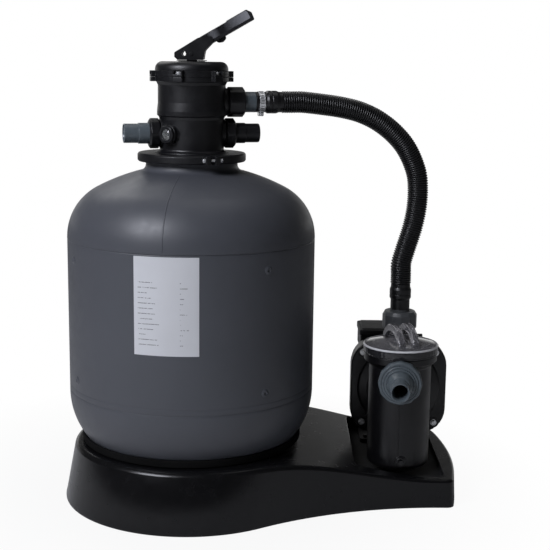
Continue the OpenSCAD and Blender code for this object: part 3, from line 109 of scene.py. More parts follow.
def blended(share, first, second):
    """Mixes two colours by a share."""
    inputs = {0: share, MIX_FIRST: first, MIX_SECOND: second}
    return add_node(share.id_data, "Mix", inputs, data_type="RGBA").outputs[MIX_RESULT]


def maths(operation, first, second=0.0):
    """One step of arithmetic between a socket and a socket or number."""
    return add_node(first.id_data, "Math", {0: first, 1: second}, operation=operation).outputs[0]


def times(first, *others):
    """The product of a socket and other sockets or numbers."""
    for other in others:
        first = maths("MULTIPLY", first, other)
    return first


def between(value, low, high):
    """1 where a value lies between two others, 0 elsewhere."""
    return times(maths("GREATER_THAN", value, low), maths("LESS_THAN", value, high))


def bumped(height, strength, distance):
    inputs = {"Height": height, "Strength": strength, "Distance": distance}
    return add_node(height.id_data, "Bump", inputs).outputs["Normal"]


def xyz(where):
    return add_node(where.id_data, "SeparateXYZ", {"Vector": where}).outputs


def opened(finish):
    """A finish's shader, and the place on the piece."""
    tree = finish.node_tree
    return tree.nodes["Principled BSDF"], add_node(tree, "TexCoord").outputs["Object"]


def source(shader, socket):
    """What is linked to a shader's input now."""
    return shader.inputs[socket].links[0].from_socket


def shade(colour, share):
    return (colour[0] * share, colour[1] * share, colour[2] * share, 1.0)


def moulded(name, colour, rough, mottle=0.14, blotch=9.0, grain=900.0, grain_depth=0.12,
            rough_span=0.07, metal=0.0, specular=0.5):
    """A moulded or cast finish: cloudy colour, uneven gloss and a fine moulded grain."""
    finish = bpy.data.materials.new(name)
    finish.use_nodes = True
    shader, where = opened(finish)
    clouds = spread(noise(where, blotch, 4.0), 0.0, 1.0)
    feed(shader, {
        "Metallic": metal, "Specular IOR Level": specular,
        "Base Color": blended(clouds, shade(colour, 1 - mottle), shade(colour, 1 + mottle)),
        "Roughness": spread(noise(where, 38.0, 5.0, 0.65), rough - rough_span, rough + rough_span),
        "Normal": bumped(noise(where, grain, 2.0), grain_depth, 0.0004),
    })
    return finish


def brushed(name, colour, rough):
    """Bright metal with fine drawn lines round its axis."""
    finish = moulded(name, colour, rough, mottle=0.08, metal=1.0, grain_depth=0.0)
    shader, where = opened(finish)
    drawn = add_node(where.id_data, "Mapping", {"Vector": where, "Scale": (1.0, 1.0, 40.0)}).outputs["Vector"]
    feed(shader, {"Normal": bumped(noise(drawn, 60.0), 0.25, 0.0003)})
    return finish


def see_through(name, colour, rough, passing):
    """Tinted clear plastic with faint flow marks."""
    finish = moulded(name, colour, rough, mottle=0.1, blotch=30.0, grain=220.0, grain_depth=0.06,
                     rough_span=0.04)
    feed(finish.node_tree.nodes["Principled BSDF"], {"Transmission Weight": passing, "IOR": 1.5})
    return finish


# The pump tray's floor in metres, and how much duller it is than the walls
SCUFFED_X, SCUFFED_Y, SCUFFED_Z, SCUFF = (0.322, 0.522), (-0.086, 0.252), 0.060, 0.42


def plinth_finish():
    """Glossy black on the walls and rim, and a dull scuffed floor where the pump stands."""
    finish = moulded("plinth_black", (0.0046, 0.0046, 0.0052), 0.24, blotch=6.0, grain=160.0,
                     grain_depth=0.035, rough_span=0.05, specular=0.34)
    shader, where = opened(finish)
    x, y, z = xyz(where)
    inside = times(between(x, *SCUFFED_X), between(y, *SCUFFED_Y), maths("LESS_THAN", z, SCUFFED_Z))
    dull = maths("ADD", source(shader, "Roughness"), times(inside, SCUFF))
    feed(shader, {"Roughness": dull})
    return finish


plinth_black = plinth_finish()
tank_grey = moulded("tank_grey", (0.069, 0.073, 0.085), 0.44, mottle=0.05, blotch=5.0, grain=260.0,
                    grain_depth=0.07, rough_span=0.05)
valve_black = moulded("valve_black", (0.0046, 0.0047, 0.0060), 0.40, grain=700.0, grain_depth=0.05)
hose_black = moulded("hose_black", (0.0075, 0.0075, 0.0082), 0.34, grain=600.0, grain_depth=0.10)
pump_black = moulded("pump_black", (0.0040, 0.0039, 0.0047), 0.36, grain=520.0, grain_depth=0.06)
union_grey = moulded("union_grey", (0.084, 0.089, 0.094), 0.34, grain=480.0)
motor_paint = moulded("motor_paint", (0.0120, 0.0120, 0.0130), 0.46, grain=300.0, grain_depth=0.22)
box_paint = moulded("box_paint", (0.040, 0.040, 0.042), 0.50, grain=260.0, grain_depth=0.25)
pipe_grey = moulded("pipe_grey", (0.094, 0.114, 0.128), 0.30, mottle=0.10, grain=500.0)
bright_steel = brushed("bright_steel", (0.62, 0.63, 0.64), 0.24)
zinc_plate = moulded("zinc_plate", (0.80, 0.81, 0.82), 0.24, metal=0.6, grain_depth=0.05)
dull_rubber = moulded("dull_rubber", (0.006, 0.006, 0.006), 0.85, grain_depth=0.2, specular=0.05)
seal_rubber = moulded("seal_rubber", (0.012, 0.012, 0.012), 0.75, grain_depth=0.2)
lid_smoke = see_through("lid_smoke", (0.05, 0.05, 0.055), 0.08, 0.60)
lid_haze = see_through("lid_haze", (0.30, 0.295, 0.315), 0.06, 0.76)
# A pale opaque finish for a ring on the lid's rim: a painted highlight line
lid_rim_highlight = moulded("lid_rim_highlight", (0.64, 0.64, 0.66), 0.10, grain_depth=0.03)
sight_clear = see_through("sight_clear", (0.80, 0.82, 0.82), 0.06, 0.90)

# Material slot name of each finish; piece() looks a slot up here unless the piece names one, with
# black_plastic for every other finish, but does not store it on the piece
SLOT_OF_FINISH = {
    plinth_black: "plinth_black", tank_grey: "tank_grey", motor_paint: "motor_black", pipe_grey: "pvc_grey",
    zinc_plate: "steel", seal_rubber: "rubber", lid_smoke: "clear", lid_haze: "clear", lid_rim_highlight: "clear",
    sight_clear: "clear",
}


# Mesh helpers

def arc(centre, radius, start, end, count):
    """Points of an arc, in degrees, both ends included."""
    turns = [radians(start + (end - start) * i / count) for i in range(count + 1)]
    return [(centre[0] + radius * cos(a), centre[1] + radius * sin(a)) for a in turns]


def filleted(corners, count=4):
    """A closed outline whose corners (x, y, radius) are rounded; one without a radius stays sharp."""
    points = []
    for i, (x, y, *rounding) in enumerate(corners):
        here = Vector((x, y))
        before = (Vector(corners[i - 1][:2]) - here).normalized()
        after = (Vector(corners[(i + 1) % len(corners)][:2]) - here).normalized()
        half = before.angle(after) / 2
        if not rounding or half < 0.02 or half > pi / 2 - 0.02:
            points.append((x, y))
            continue
        radius = rounding[0]
        reach = radius / tan(half)
        middle = here + (before + after).normalized() * (radius / sin(half))
        first, last = here + before * reach - middle, here + after * reach - middle
        swing = first.angle_signed(last)
        for k in range(count + 1):
            a = -swing * k / count
            points.append((middle.x + first.x * cos(a) - first.y * sin(a),
                           middle.y + first.x * sin(a) + first.y * cos(a)))
    return points


def box_outline(x0, y0, x1, y1, corner, count):
    """A rectangle with rounded corners."""
    return filleted([(x0, y0, corner), (x1, y0, corner), (x1, y1, corner), (x0, y1, corner)], count)


def neighbours(loop):
    """Each item of a closed loop with the next one."""
    return zip(loop, loop[1:] + loop[:1])


def faced_out(shape):
    bmesh.ops.recalc_face_normals(shape, faces=shape.faces)


def new_verts(made):
    return [v for v in made["geom"] if isinstance(v, bmesh.types.BMVert)]


def lathe(profile, steps=72, angle=2 * pi, start=0):
    """Spins a closed half section of (radius, height) points about Z."""
    shape = bmesh.new()
    whole = angle > 2 * pi - 1e-6
    turns = [start + angle * k / steps for k in range(steps if whole else steps + 1)]
    rims = [[shape.verts.new((r * cos(a), r * sin(a), z)) for r, z in profile] for a in turns]
    if not whole:
        shape.faces.new(rims[0])
        shape.faces.new(rims[-1])
    for rim, after in neighbours(rims) if whole else zip(rims, rims[1:]):
        for (a, b), (c, d) in zip(neighbours(rim), neighbours(after)):
            shape.faces.new((a, b, d, c))
    bmesh.ops.remove_doubles(shape, verts=shape.verts, dist=1e-4)
    faced_out(shape)
    return shape


def spun(corners, steps, count=4):
    """A full turn of a half section with rounded corners (radius, height, rounding)."""
    return lathe(filleted(corners, count), steps)


def raised(shape, faces, height):
    """Extrudes faces upwards."""
    top = new_verts(bmesh.ops.extrude_face_region(shape, geom=faces))
    bmesh.ops.translate(shape, verts=top, vec=(0, 0, height))
    faced_out(shape)
    return shape


def slab(outline, low, high, rounding=0, segments=2):
    """Extrudes an outline from one height to another and rounds all its sharp edges."""
    shape = bmesh.new()
    face = shape.faces.new([shape.verts.new((x, y, low)) for x, y in outline])
    raised(shape, [face], high - low)
    if rounding:
        round_edges(shape, rounding, segments)
    return shape


def round_edges(shape, width, segments=2, sharp=30):
    """Bevels every edge that turns by more than an angle."""
    limit = radians(sharp)
    edges = [e for e in shape.edges if len(e.link_faces) == 2 and e.calc_face_angle() > limit]
    bmesh.ops.bevel(shape, geom=edges, offset=width, offset_type="OFFSET", segments=segments,
                    profile=0.5, affect="EDGES", clamp_overlap=True, material=-1)


def placed(shape, *turns):
    """Moves a shape by the product of some matrices."""
    matrix = Matrix.Identity(4)
    for turn in turns:
        matrix = matrix @ turn
    bmesh.ops.transform(shape, matrix=matrix, verts=shape.verts)
    return shape


def at(x, y, z):
    return Matrix.Translation((x, y, z))


def turned(angle):
    return Matrix.Rotation(radians(angle), 4, "Z")


ALONG_X = Matrix.Rotation(pi / 2, 4, "Y")
ALONG_Y = Matrix.Rotation(-pi / 2, 4, "X")
FORWARD = Matrix.Rotation(pi / 2, 4, "X")


def joined(*shapes):
    """Puts several shapes into one."""
    whole = shapes[0]
    for shape in shapes[1:]:
        part = bpy.data.meshes.new("part")
        shape.to_mesh(part)
        shape.free()
        whole.from_mesh(part)
        bpy.data.meshes.remove(part)
    return whole


def ring_of(shape, points):
    """A closed loop of new vertices and edges."""
    loop = [shape.verts.new(p) for p in points]
    for a, b in neighbours(loop):
        shape.edges.new((a, b))
    return loop


def loop_edges(shape, loop):
    return [shape.edges.get((a, b)) for a, b in neighbours(loop)]


def grow(shape, loop, points):
    """Extrudes a closed loop of vertices and moves the new loop to some points."""
    new = set(new_verts(bmesh.ops.extrude_edge_only(shape, edges=loop_edges(shape, loop))))
    grown = []
    for v, point in zip(loop, points):
        after = next(e.other_vert(v) for e in v.link_edges if e.other_vert(v) in new)
        after.co = point
        grown.append(after)
    return grown


def pierced(outline, holes, low, high):
    """A slab with holes through it."""
    shape = bmesh.new()
    edges = []
    for points in (outline, *holes):
        edges += loop_edges(shape, ring_of(shape, [(x, y, low) for x, y in points]))
    bmesh.ops.triangle_fill(shape, use_beauty=True, edges=edges, normal=(0, 0, 1))
    return raised(shape, list(shape.faces), high - low)


def faceted(shape, sides, radius, cap=1.05, band=4):
    """Draws the outer wall of a turned shape out to soft corners, as on a union nut."""
    step = 2 * pi / sides
    for v in shape.verts:
        share = (hypot(v.co.x, v.co.y) - radius + band) / band
        if share > 0:
            turn = atan2(v.co.y, v.co.x) % step - step / 2
            stretch = 1 + (min(1 / cos(turn), cap) - 1) * min(share, 1)
            v.co.x *= stretch
            v.co.y *= stretch
    return shape


def hexagon(radius, low, high, rounding):
    """A hexagon head with a soft crown."""
    corners = [(radius * cos(pi * k / 3), radius * sin(pi * k / 3)) for k in range(6)]
    return slab(corners, low, high, rounding)


def even_shading(made):
    made.modifiers.new("even_shading", "WEIGHTED_NORMAL").keep_sharp = True


def object_of(name, shape, finish):
    """An object in the scene with a shape's mesh and a finish."""
    mesh = bpy.data.meshes.new(name)
    shape.to_mesh(mesh)
    shape.free()
    mesh.materials.append(finish)
    made = bpy.data.objects.new(name, mesh)
    scene.collection.objects.link(made)
    return made


stood_for = set()


def piece(name, shape, finish, node=None, body="set", slot=None, sharp=32, even=True):
    """Makes a piece of a shape drawn in millimetres, on its body; it may stand for a CAD node."""
    bmesh.ops.scale(shape, vec=(MM,) * 3, verts=shape.verts)
    made = object_of(name, shape, finish)
    made.data.polygons.foreach_set("use_smooth", [True] * len(made.data.polygons))
    made.data.set_sharp_from_angle(angle=radians(sharp))
    if even:
        even_shading(made)
    slot = slot or SLOT_OF_FINISH.get(finish, "black_plastic")
    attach(made, body)
    if node:
        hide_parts(node)
        stood_for.add(node)
    return made


# Hose: a ribbed tube bent along the route, drawn in the upright plane through the valve and pump

HOSE_START, HOSE_END = (185, 804.624), (454.03, 421)
HOSE_OUT = [(0, 0), (22, 0), (44, 0), (82, -4), (126, -10), (168, -20), (208, -38), (246, -66), (275, -100)]
HOSE_DOWN = [(27, 238), (32, 198), (30, 158), (22, 118), (9, 76), (0, 44), (0, 22), (0, 0)]
HOSE_R, HOSE_BORE_R, RIB_DEPTH, RIBS = 22, 17, 2.5, 125
ROUTE_STEPS, BORE_STEPS, LOOK_AHEAD = 12, 90, 1.5
# One rib as (share of the pitch, share of the depth): a rounded crown between narrow grooves
RIB = [(0.00, 1), (0.10, 0.92), (0.20, 0.45), (0.32, 0.08), (0.50, 0), (0.68, 0.08), (0.80, 0.45),
       (0.90, 0.92)]


def hose_route():
    """Fine points of the hose's centreline, (s, z) in its plane."""
    marks = [Vector((HOSE_START[0] + s, HOSE_START[1] + z)) for s, z in HOSE_OUT]
    marks += [Vector((HOSE_END[0] + s, HOSE_END[1] + z)) for s, z in HOSE_DOWN]
    ends = [2 * marks[0] - marks[1], *marks, 2 * marks[-1] - marks[-2]]
    line = []
    for a, b, c, d in zip(ends, ends[1:], ends[2:], ends[3:]):
        for k in range(ROUTE_STEPS):
            t = k / ROUTE_STEPS
            line.append(b + t * (c - a) / 2 + t * t * (2 * a - 5 * b + 4 * c - d) / 2
                        + t * t * t * (3 * b - a - 3 * c + d) / 2)
    return line + [marks[-1]]


def make_hose():
    line = hose_route()
    marks = [0]
    for a, b in zip(line, line[1:]):
        marks.append(marks[-1] + (b - a).length)
    length = marks[-1]
    pitch = length / RIBS

    def spot(along):
        along = min(max(along, 0), length)
        i = next(k for k in range(1, len(marks)) if marks[k] >= along - 1e-9)
        share = (along - marks[i - 1]) / (marks[i] - marks[i - 1])
        return line[i - 1].lerp(line[i], share)

    skin = [(HOSE_R - RIB_DEPTH * depth, (k + share) * pitch) for k in range(RIBS) for share, depth in RIB]
    skin.append((HOSE_R - RIB_DEPTH, length))
    bore = [(HOSE_BORE_R, length * k / BORE_STEPS) for k in range(BORE_STEPS, -1, -1)]
    tube = lathe(skin + bore, steps=36)
    for v in tube.verts:
        along = v.co.z
        ahead = (spot(along + LOOK_AHEAD) - spot(along - LOOK_AHEAD)).normalized()
        middle = spot(along)
        side = Vector((-ahead.y, ahead.x))
        v.co = Vector((middle.x + side.x * v.co.x, v.co.y, middle.y + side.y * v.co.x))
    faced_out(tube)
    hose = piece("ribbed_hose", placed(tube, IN_VALVE), hose_black, "hose", sharp=60, even=False)


make_hose()


# Plinth: round under the tank, with a lower tail under the pump

PLINTH_H, PLATFORM_H, PLINTH_WALL = 118, 57, 5
ROUND_R, ROUND_Y = 260, -11
TAIL_X, TAIL_R, TAIL_Y = 556, 750, 60
FRONT_Y, FRONT_CORNER, BACK_Y, BACK_CORNER, BACK_DROP = -108, 16, 264, 60, 15
RAMP_X0, RAMP_X1, RAMP_CUTS = 125, 508, 30
LEAN_X, LEAN_SHARE, FRONT_CURVE = 380, 22 / 640, 20
RIM_AT_TANK, RIM_AT_PUMP, RIM_BEHIND = 10.5, 6, 4
TRAY_LOW, TRAY_HIGH, TRAY_FLOOR = (338, -84), (520, 250), 47
TRAY_CORNER, TRAY_LIP, TRAY_FILLET = 22, 2, 5


def ramp(x):
    """Height of the plinth's top along X: level at the tank, level at the pump."""
    t = min(max((x - RAMP_X0) / (RAMP_X1 - RAMP_X0), 0), 1)
    return PLINTH_H - (PLINTH_H - PLATFORM_H) * (1 - cos(pi * t)) / 2


def plinth_outline(inset):
    """The plinth's foot seen from above, drawn in by an inset."""
    end_x = TAIL_X - TAIL_R
    front_y, back_y = FRONT_Y + FRONT_CORNER, BACK_Y - BACK_CORNER
    front_r, back_r = TAIL_R - FRONT_CORNER, TAIL_R - BACK_CORNER
    a0 = degrees(asin((front_y - TAIL_Y) / front_r))
    a1 = degrees(asin((back_y - TAIL_Y) / back_r))
    front = (end_x + front_r * cos(radians(a0)), front_y)
    back = (end_x + back_r * cos(radians(a1)), back_y)
    front_d = ROUND_Y - FRONT_Y
    hollow_r = (front[0] ** 2 + front_d ** 2 - ROUND_R ** 2) / (2 * (ROUND_R - front_d))
    hollow_a = degrees(atan2(-front_d - hollow_r, front[0]))
    return (
        arc((0, ROUND_Y), ROUND_R - inset, 90, 360 + hollow_a, 120)
        + arc((front[0], FRONT_Y - hollow_r), hollow_r + inset, 180 + hollow_a, 90, 36)[1:]
        + arc(front, max(FRONT_CORNER - inset, 0.5), -90, a0, 10)[1:]
        + arc((end_x, TAIL_Y), TAIL_R - inset, a0, a1, 20)[1:-1]
        + arc(back, BACK_CORNER - inset, a1, 90, 16)
        + [(back[0] - back[0] * k / 24, BACK_Y - inset - BACK_DROP * k / 24) for k in range(1, 24)]
    )


def eased(value, low, high):
    """A smooth rise from 0 to 1 between two values."""
    t = min(max((value - low) / (high - low), 0), 1)
    return t * t * (3 - 2 * t)


def leaned(point, z):
    """Draws a point towards the pump end as the wall rises; the front curves back near its top."""
    share = 1 - LEAN_SHARE * z / PLINTH_H
    facing = max(0, (ROUND_Y - point[1]) / ROUND_R) ** 1.5 * (1 - eased(point[0], 40, 230))
    back = FRONT_CURVE * facing * (z / PLINTH_H) ** 3
    return Vector((LEAN_X + (point[0] - LEAN_X) * share, point[1] * share + back, z))


def rim_rounding(x, y):
    """How far the top edge is rounded over: most at the tank's end, least behind the tray."""
    along = RIM_AT_TANK - (RIM_AT_TANK - RIM_AT_PUMP) * eased(x, 60, 440)
    behind = eased(y, 120, 220) * eased(x, 180, 300)
    return along + (RIM_BEHIND - along) * behind


def plinth_levels():
    """Loops of the outer wall from the floor up, over the rounded rim."""
    outer = plinth_outline(0)
    inner = plinth_outline(1)
    inward = [Vector((b[0] - a[0], b[1] - a[1])).normalized() for a, b in zip(outer, inner)]
    tops = []
    for p, n in zip(outer, inward):
        r = rim_rounding(*p)
        tops.append((r, ramp(leaned(p, 110).x + n.x * r)))
    foot = [leaned(p, 0) for p in outer]
    levels = [foot, [Vector((p.x, p.y, 3)) for p in foot]]
    for share in (0.1, 0.35, 0.7, 1):
        levels.append([leaned(p, (z - r) * share) for p, (r, z) in zip(outer, tops)])
    for k in range(1, 9):
        a = pi / 2 * k / 8
        level = []
        for p, n, (r, z) in zip(outer, inward, tops):
            base = leaned(p, z - r + r * sin(a))
            back = r * (1 - cos(a))
            level.append(Vector((base.x + n.x * back, base.y + n.y * back, base.z)))
        levels.append(level)
    return levels


def tray_loop(grown):
    """The tray's outline, grown outwards."""
    (x0, y0), (x1, y1) = TRAY_LOW, TRAY_HIGH
    corners = box_outline(x0 - grown, y0 - grown, x1 + grown, y1 + grown, TRAY_CORNER + grown, 6)
    # The long sides get as many points at every size, so that they follow the ramp
    loop = []
    for (ax, ay), (bx, by) in neighbours(corners):
        count = 24 if hypot(bx - ax, by - ay) > 60 else 1
        loop += [(ax + (bx - ax) * k / count, ay + (by - ay) * k / count) for k in range(count)]
    return loop


def make_plinth():
    shape = bmesh.new()
    levels = plinth_levels()
    loop = ring_of(shape, levels[0])
    for level in levels[1:]:
        loop = grow(shape, loop, level)
    # The tray that the pump stands in: a rounded lip, steep walls and a level floor
    tray = ring_of(shape, [Vector((x, y, ramp(x))) for x, y in tray_loop(TRAY_LIP)])
    top_edges = loop_edges(shape, loop) + loop_edges(shape, tray)
    quarter = [pi / 2 * k / 4 for k in range(5)]
    for a in quarter[1:]:
        out, down = TRAY_LIP * (1 - sin(a)), TRAY_LIP * (1 - cos(a))
        tray = grow(shape, tray, [Vector((x, y, ramp(x) - down)) for x, y in tray_loop(out)])
    for a in quarter:
        z = TRAY_FLOOR + TRAY_FILLET * (1 - sin(a))
        tray = grow(shape, tray, [Vector((x, y, z)) for x, y in tray_loop(-TRAY_FILLET * (1 - cos(a)))])
    floor = shape.faces.new(tray)
    before = set(shape.faces)
    bmesh.ops.triangle_fill(shape, use_beauty=True, edges=top_edges, normal=(0, 0, 1))
    # The top is marked, cut across the ramp and laid on it
    for face in set(shape.faces) - before:
        face.material_index = 1
    for k in range(RAMP_CUTS + 1):
        x = RAMP_X0 + (RAMP_X1 - RAMP_X0) * k / RAMP_CUTS
        bmesh.ops.bisect_plane(shape, geom=list(shape.verts) + list(shape.edges) + list(shape.faces),
                               dist=1e-4, plane_co=(x, 0, 0), plane_no=(1, 0, 0))
    for v in shape.verts:
        if v.link_faces and all(f.material_index == 1 for f in v.link_faces):
            v.co.z = ramp(v.co.x)
    for face in shape.faces:
        face.material_index = 0
    faced_out(shape)
    if floor.is_valid and floor.normal.z < 0:
        bmesh.ops.reverse_faces(shape, faces=shape.faces)
    plinth = piece("plinth_shell", shape, plinth_black, "base_plinth", sharp=40, even=False)
    wall = plinth.modifiers.new("wall", "SOLIDIFY")
    wall.thickness, wall.offset = PLINTH_WALL * MM, -1
    even_shading(plinth)
    post = spun([(0, 0), (45, 0, 1), (45, 112, 1), (0, 112)], 48)
    piece("plinth_post", post, plinth_black)


make_plinth()


# Tank

TANK_R, TANK_WALL = 250, 6
# Arcs of the tank's half section: centre and radius
BOTTOM, BOTTOM_R = (100, 222.4), 150
SHOULDER, SHOULDER_R, SHOULDER_END = (140, 536.4), 110, 62.2
DOME, DOME_R, DOME_END = (0, 271.09), 410, 75.52
SEAM_ANGLE = radians(-98.5)
SEAM_SECTION = ((-1.6, -0.3), (-0.5, 0.6), (0.5, 0.6), (1.6, -0.3))
MARKS = ((-152, 502), (-50.7, 500), (-150, 263), (-52, 262))
LABEL_ANGLE, LABEL_W, LABEL_Z0, LABEL_Z1 = -97, 124, 345.4, 531.4
RULE_PITCH, RULE_SHARE, RULE_GREY = 0.0098, 0.15, (0.20, 0.205, 0.215, 1)


def groove(z, depth, width):
    """Points of a shallow mould line round the tank's side."""
    return [(TANK_R, z - width), (TANK_R - depth, z - width * 0.3), (TANK_R - depth, z + width * 0.3),
            (TANK_R, z + width)]


def tank_section():
    """Half section of the tank's skin with its mould lines, and the inner wall back down."""
    outer = [(0, 126), (120, 126), (190, 126)] + arc(BOTTOM, BOTTOM_R, -40, 0, 20)
    outer += groove(229, 0.9, 1.8) + [(TANK_R, 234)] + groove(241, 0.6, 1.6)
    outer += [(TANK_R, z) for z in (262, 330, 400, 470, 520)]
    outer += [(TANK_R, 532.5), (TANK_R - 1.1, 533.6), (TANK_R - 1.1, 534.8), (TANK_R + 0.2, 536)]
    outer += arc(SHOULDER, SHOULDER_R, 0, SHOULDER_END, 28)[1:]
    outer += arc(DOME, DOME_R, SHOULDER_END, DOME_END, 14)[1:]
    outer += arc((106, 681.6), 14, 180 + DOME_END, 180, 10)[1:]
    outer += [(92, 691), (92.6, 691.6), (99.4, 691.6), (100, 692.2), (100, 695), (99.4, 695.6), (86, 695.6)]
    inner = [(86, 680)] + arc(DOME, DOME_R - TANK_WALL, 77.5, SHOULDER_END, 10)
    inner += arc(SHOULDER, SHOULDER_R - TANK_WALL, 60, 0, 12) + [(TANK_R - TANK_WALL, 380)]
    inner += arc(BOTTOM, BOTTOM_R - TANK_WALL, 0, -38, 10) + [(190, 132), (0, 132)]
    return outer + inner


def label_finish():
    """Pale film with short grey rules of uneven length, in two columns under a bare heading."""
    finish = moulded("label_film", (0.63, 0.64, 0.665), 0.36, mottle=0.03, blotch=14, grain_depth=0.04)
    shader, where = opened(finish)
    across, _, up = xyz(where)
    lines = maths("DIVIDE", maths("SUBTRACT", up, LABEL_Z0 * MM), RULE_PITCH)
    row = maths("FLOOR", lines)

    def column(left, least, most, offset):
        """Rules that start at the left and end where chance puts them."""
        chance = add_node(row.id_data, "TexWhiteNoise", {"W": maths("ADD", row, offset)},
                          noise_dimensions="1D").outputs["Value"]
        end = maths("ADD", times(chance, most - least), left + least)
        return between(across, left, end)

    columns = maths("MAXIMUM", column(-0.083, 0.014, 0.042, 0), column(-0.004, 0, 0.018, 57))
    inked_rows = times(maths("LESS_THAN", maths("FRACT", lines), RULE_SHARE),
                       between(up, (LABEL_Z0 + 12) * MM, (LABEL_Z1 - 46) * MM))
    gaps = maths("GREATER_THAN", noise(where, 420, 1), 0.44)
    rules = times(inked_rows, columns, gaps)
    inked = blended(rules, source(shader, "Base Color"), RULE_GREY)
    feed(shader, {"Base Color": inked})
    return finish


def make_tank_seam():
    """Parting line down the front of the dome, a low rib with a soft crown."""
    strip = bmesh.new()
    run = arc(SHOULDER, SHOULDER_R, 2, SHOULDER_END, 20) + arc(DOME, DOME_R, SHOULDER_END, 75, 10)[1:]
    levels = []
    for r, z in run:
        around = [(SEAM_ANGLE + side / r, r + rise, z + rise * 0.5) for side, rise in SEAM_SECTION]
        levels.append([Vector((out * cos(a), out * sin(a), up)) for a, out, up in around])
    loop = ring_of(strip, levels[0])
    strip.faces.new(loop)
    for level in levels[1:]:
        loop = grow(strip, loop, level)
    strip.faces.new(loop)
    faced_out(strip)
    piece("tank_seam", strip, tank_grey)


def make_tank():
    piece("tank_skin", lathe(tank_section(), steps=160), tank_grey, "tank_shell", sharp=50)
    make_tank_seam()
    # Four small locating bosses from the mould
    bosses = []
    for angle, z in MARKS:
        boss = lathe([(0, -1.5), (8.5, -1.5), (8.5, 0.1), (5, 1.7), (4.2, 1.8), (1.4, 0.3), (0, 0.3)], 24)
        bosses.append(placed(boss, turned(angle), at(TANK_R, 0, z), ALONG_X))
    piece("tank_bosses", joined(*bosses), tank_grey)
    half = LABEL_W / 2 / TANK_R
    low, high = TANK_R + 0.05, TANK_R + 0.45
    film = lathe([(low, LABEL_Z0), (high, LABEL_Z0), (high, LABEL_Z1), (low, LABEL_Z1)], steps=32,
                 angle=2 * half, start=radians(LABEL_ANGLE) - half)
    piece("tank_label_film", film, label_finish(), "tank_label", slot="label_white")
    foot = spun([
        (150, 118), (222, 118, 1), (226, 120, 2), (226, 134, 2), (222, 134, 1.5), (221, 126.2),
        (150, 125.8)], 128)
    piece("tank_foot", foot, dull_rubber, "tank_foot_ring", slot="plinth_black")


make_tank()


# Valve: turned barrel, lugged flanges, port unions and pipes, all in the valve's own frame

LOW_PORT_Z, HIGH_PORT_Z = 742.6, 804.6
BODY_FLANGE_Z, CAP_Z, CAP_FLANGE_TOP, CAP_TOP = 844.6, 853.6, 865.6, 883.6
FLANGE_R, LUG_OUT, LUG_DEEP, LUG_R, POCKET_R = 74, 72, 11, 11, 7.6
LUG_TURNS = [60 * k for k in range(6)]
SIGHT_TURN, SIGHT_FACE = -51, 72
UNION_R, PIPE_R, PIPE_BORE_R, PIPE_MOUTH_R, COLLAR_R = 28.5, 19, 14.5, 17, 20.5
LOW_PORT, HIGH_PORT = at(0, 0, LOW_PORT_Z), at(0, 0, HIGH_PORT_Z)


def lug_outline(pockets):
    """A round flange with a lug for each screw; a lug may have a pocket open to the outside."""
    outline = []
    half = degrees(asin((LUG_R + 1.8) / FLANGE_R))
    corner = [(LUG_DEEP - 3, LUG_R), (LUG_DEEP - 1, LUG_R - 0.6), (LUG_DEEP, LUG_R - 2)]
    for turn in LUG_TURNS:
        outline += arc((0, 0), FLANGE_R, turn - 60 + half, turn - half, 14)
        lug = [(1.4, -LUG_R - 0.5), (3, -LUG_R)] + [(x, -y) for x, y in corner]
        if pockets:
            lug += [(LUG_DEEP, -POCKET_R)] + arc((0, 0), POCKET_R, 270, 90, 12) + [(LUG_DEEP, POCKET_R)]
        lug += corner[::-1] + [(3, LUG_R), (1.4, LUG_R + 0.5)]
        side = Matrix.Rotation(radians(turn), 2)
        outline += [tuple(side @ Vector((LUG_OUT + x, y))) for x, y in lug]
    return outline


def make_valve_body():
    barrel = spun([
        (20, 690), (86, 690), (86, 697.2), (100, 697.2, 0.5), (100, 700.5, 0.5), (72, 700.5, 0.5),
        (72, 706.5, 2), (64, 708, 6), (64, 770, 3), (66, 776, 2), (69.2, 778.5, 2), (69.2, 787, 4),
        (67.4, 804, 12), (67.4, 838, 5), (70, 843.5, 2), (73, 845.5), (20, 845.5)], 144, 5)
    parts = [barrel, slab(lug_outline(False), BODY_FLANGE_Z, CAP_Z - 0.35, 0.8)]
    for turn in (0, 180):
        neck = spun([
            (PIPE_BORE_R, 40), (30, 40), (29.4, 64.5, 1.5), (24.5, 66.5, 0.8), (24, 77, 0.5),
            (PIPE_BORE_R, 77, 0.5)], 64)
        parts.append(placed(neck, turned(turn), LOW_PORT, ALONG_X))
    neck = spun([
        (PIPE_BORE_R, 40), (31, 40), (30, 66, 4), (26.5, 71, 2), (24, 76), (24, 96, 0.5),
        (PIPE_BORE_R, 96, 0.5)], 64)
    parts.append(placed(neck, HIGH_PORT, ALONG_X))
    # Flat ribs that tie the pump port to the barrel
    for z, width in ((-13, 40), (0, 50), (13, 40)):
        rib = slab([(48, -width / 2), (73, -width / 2), (73, width / 2), (48, width / 2)], -1.8, 1.8, 1.2)
        parts.append(placed(rib, at(0, 0, HIGH_PORT_Z + z)))
    boss = spun([
        (11, 40), (23, 40), (22, 60, 4), (19, 64, 3), (19, SIGHT_FACE, 1.2), (11, SIGHT_FACE, 0.4)], 56)
    parts.append(placed(boss, turned(SIGHT_TURN), LOW_PORT, FORWARD))
    piece("valve_barrel", placed(joined(*parts), IN_VALVE), valve_black, "valve_body")


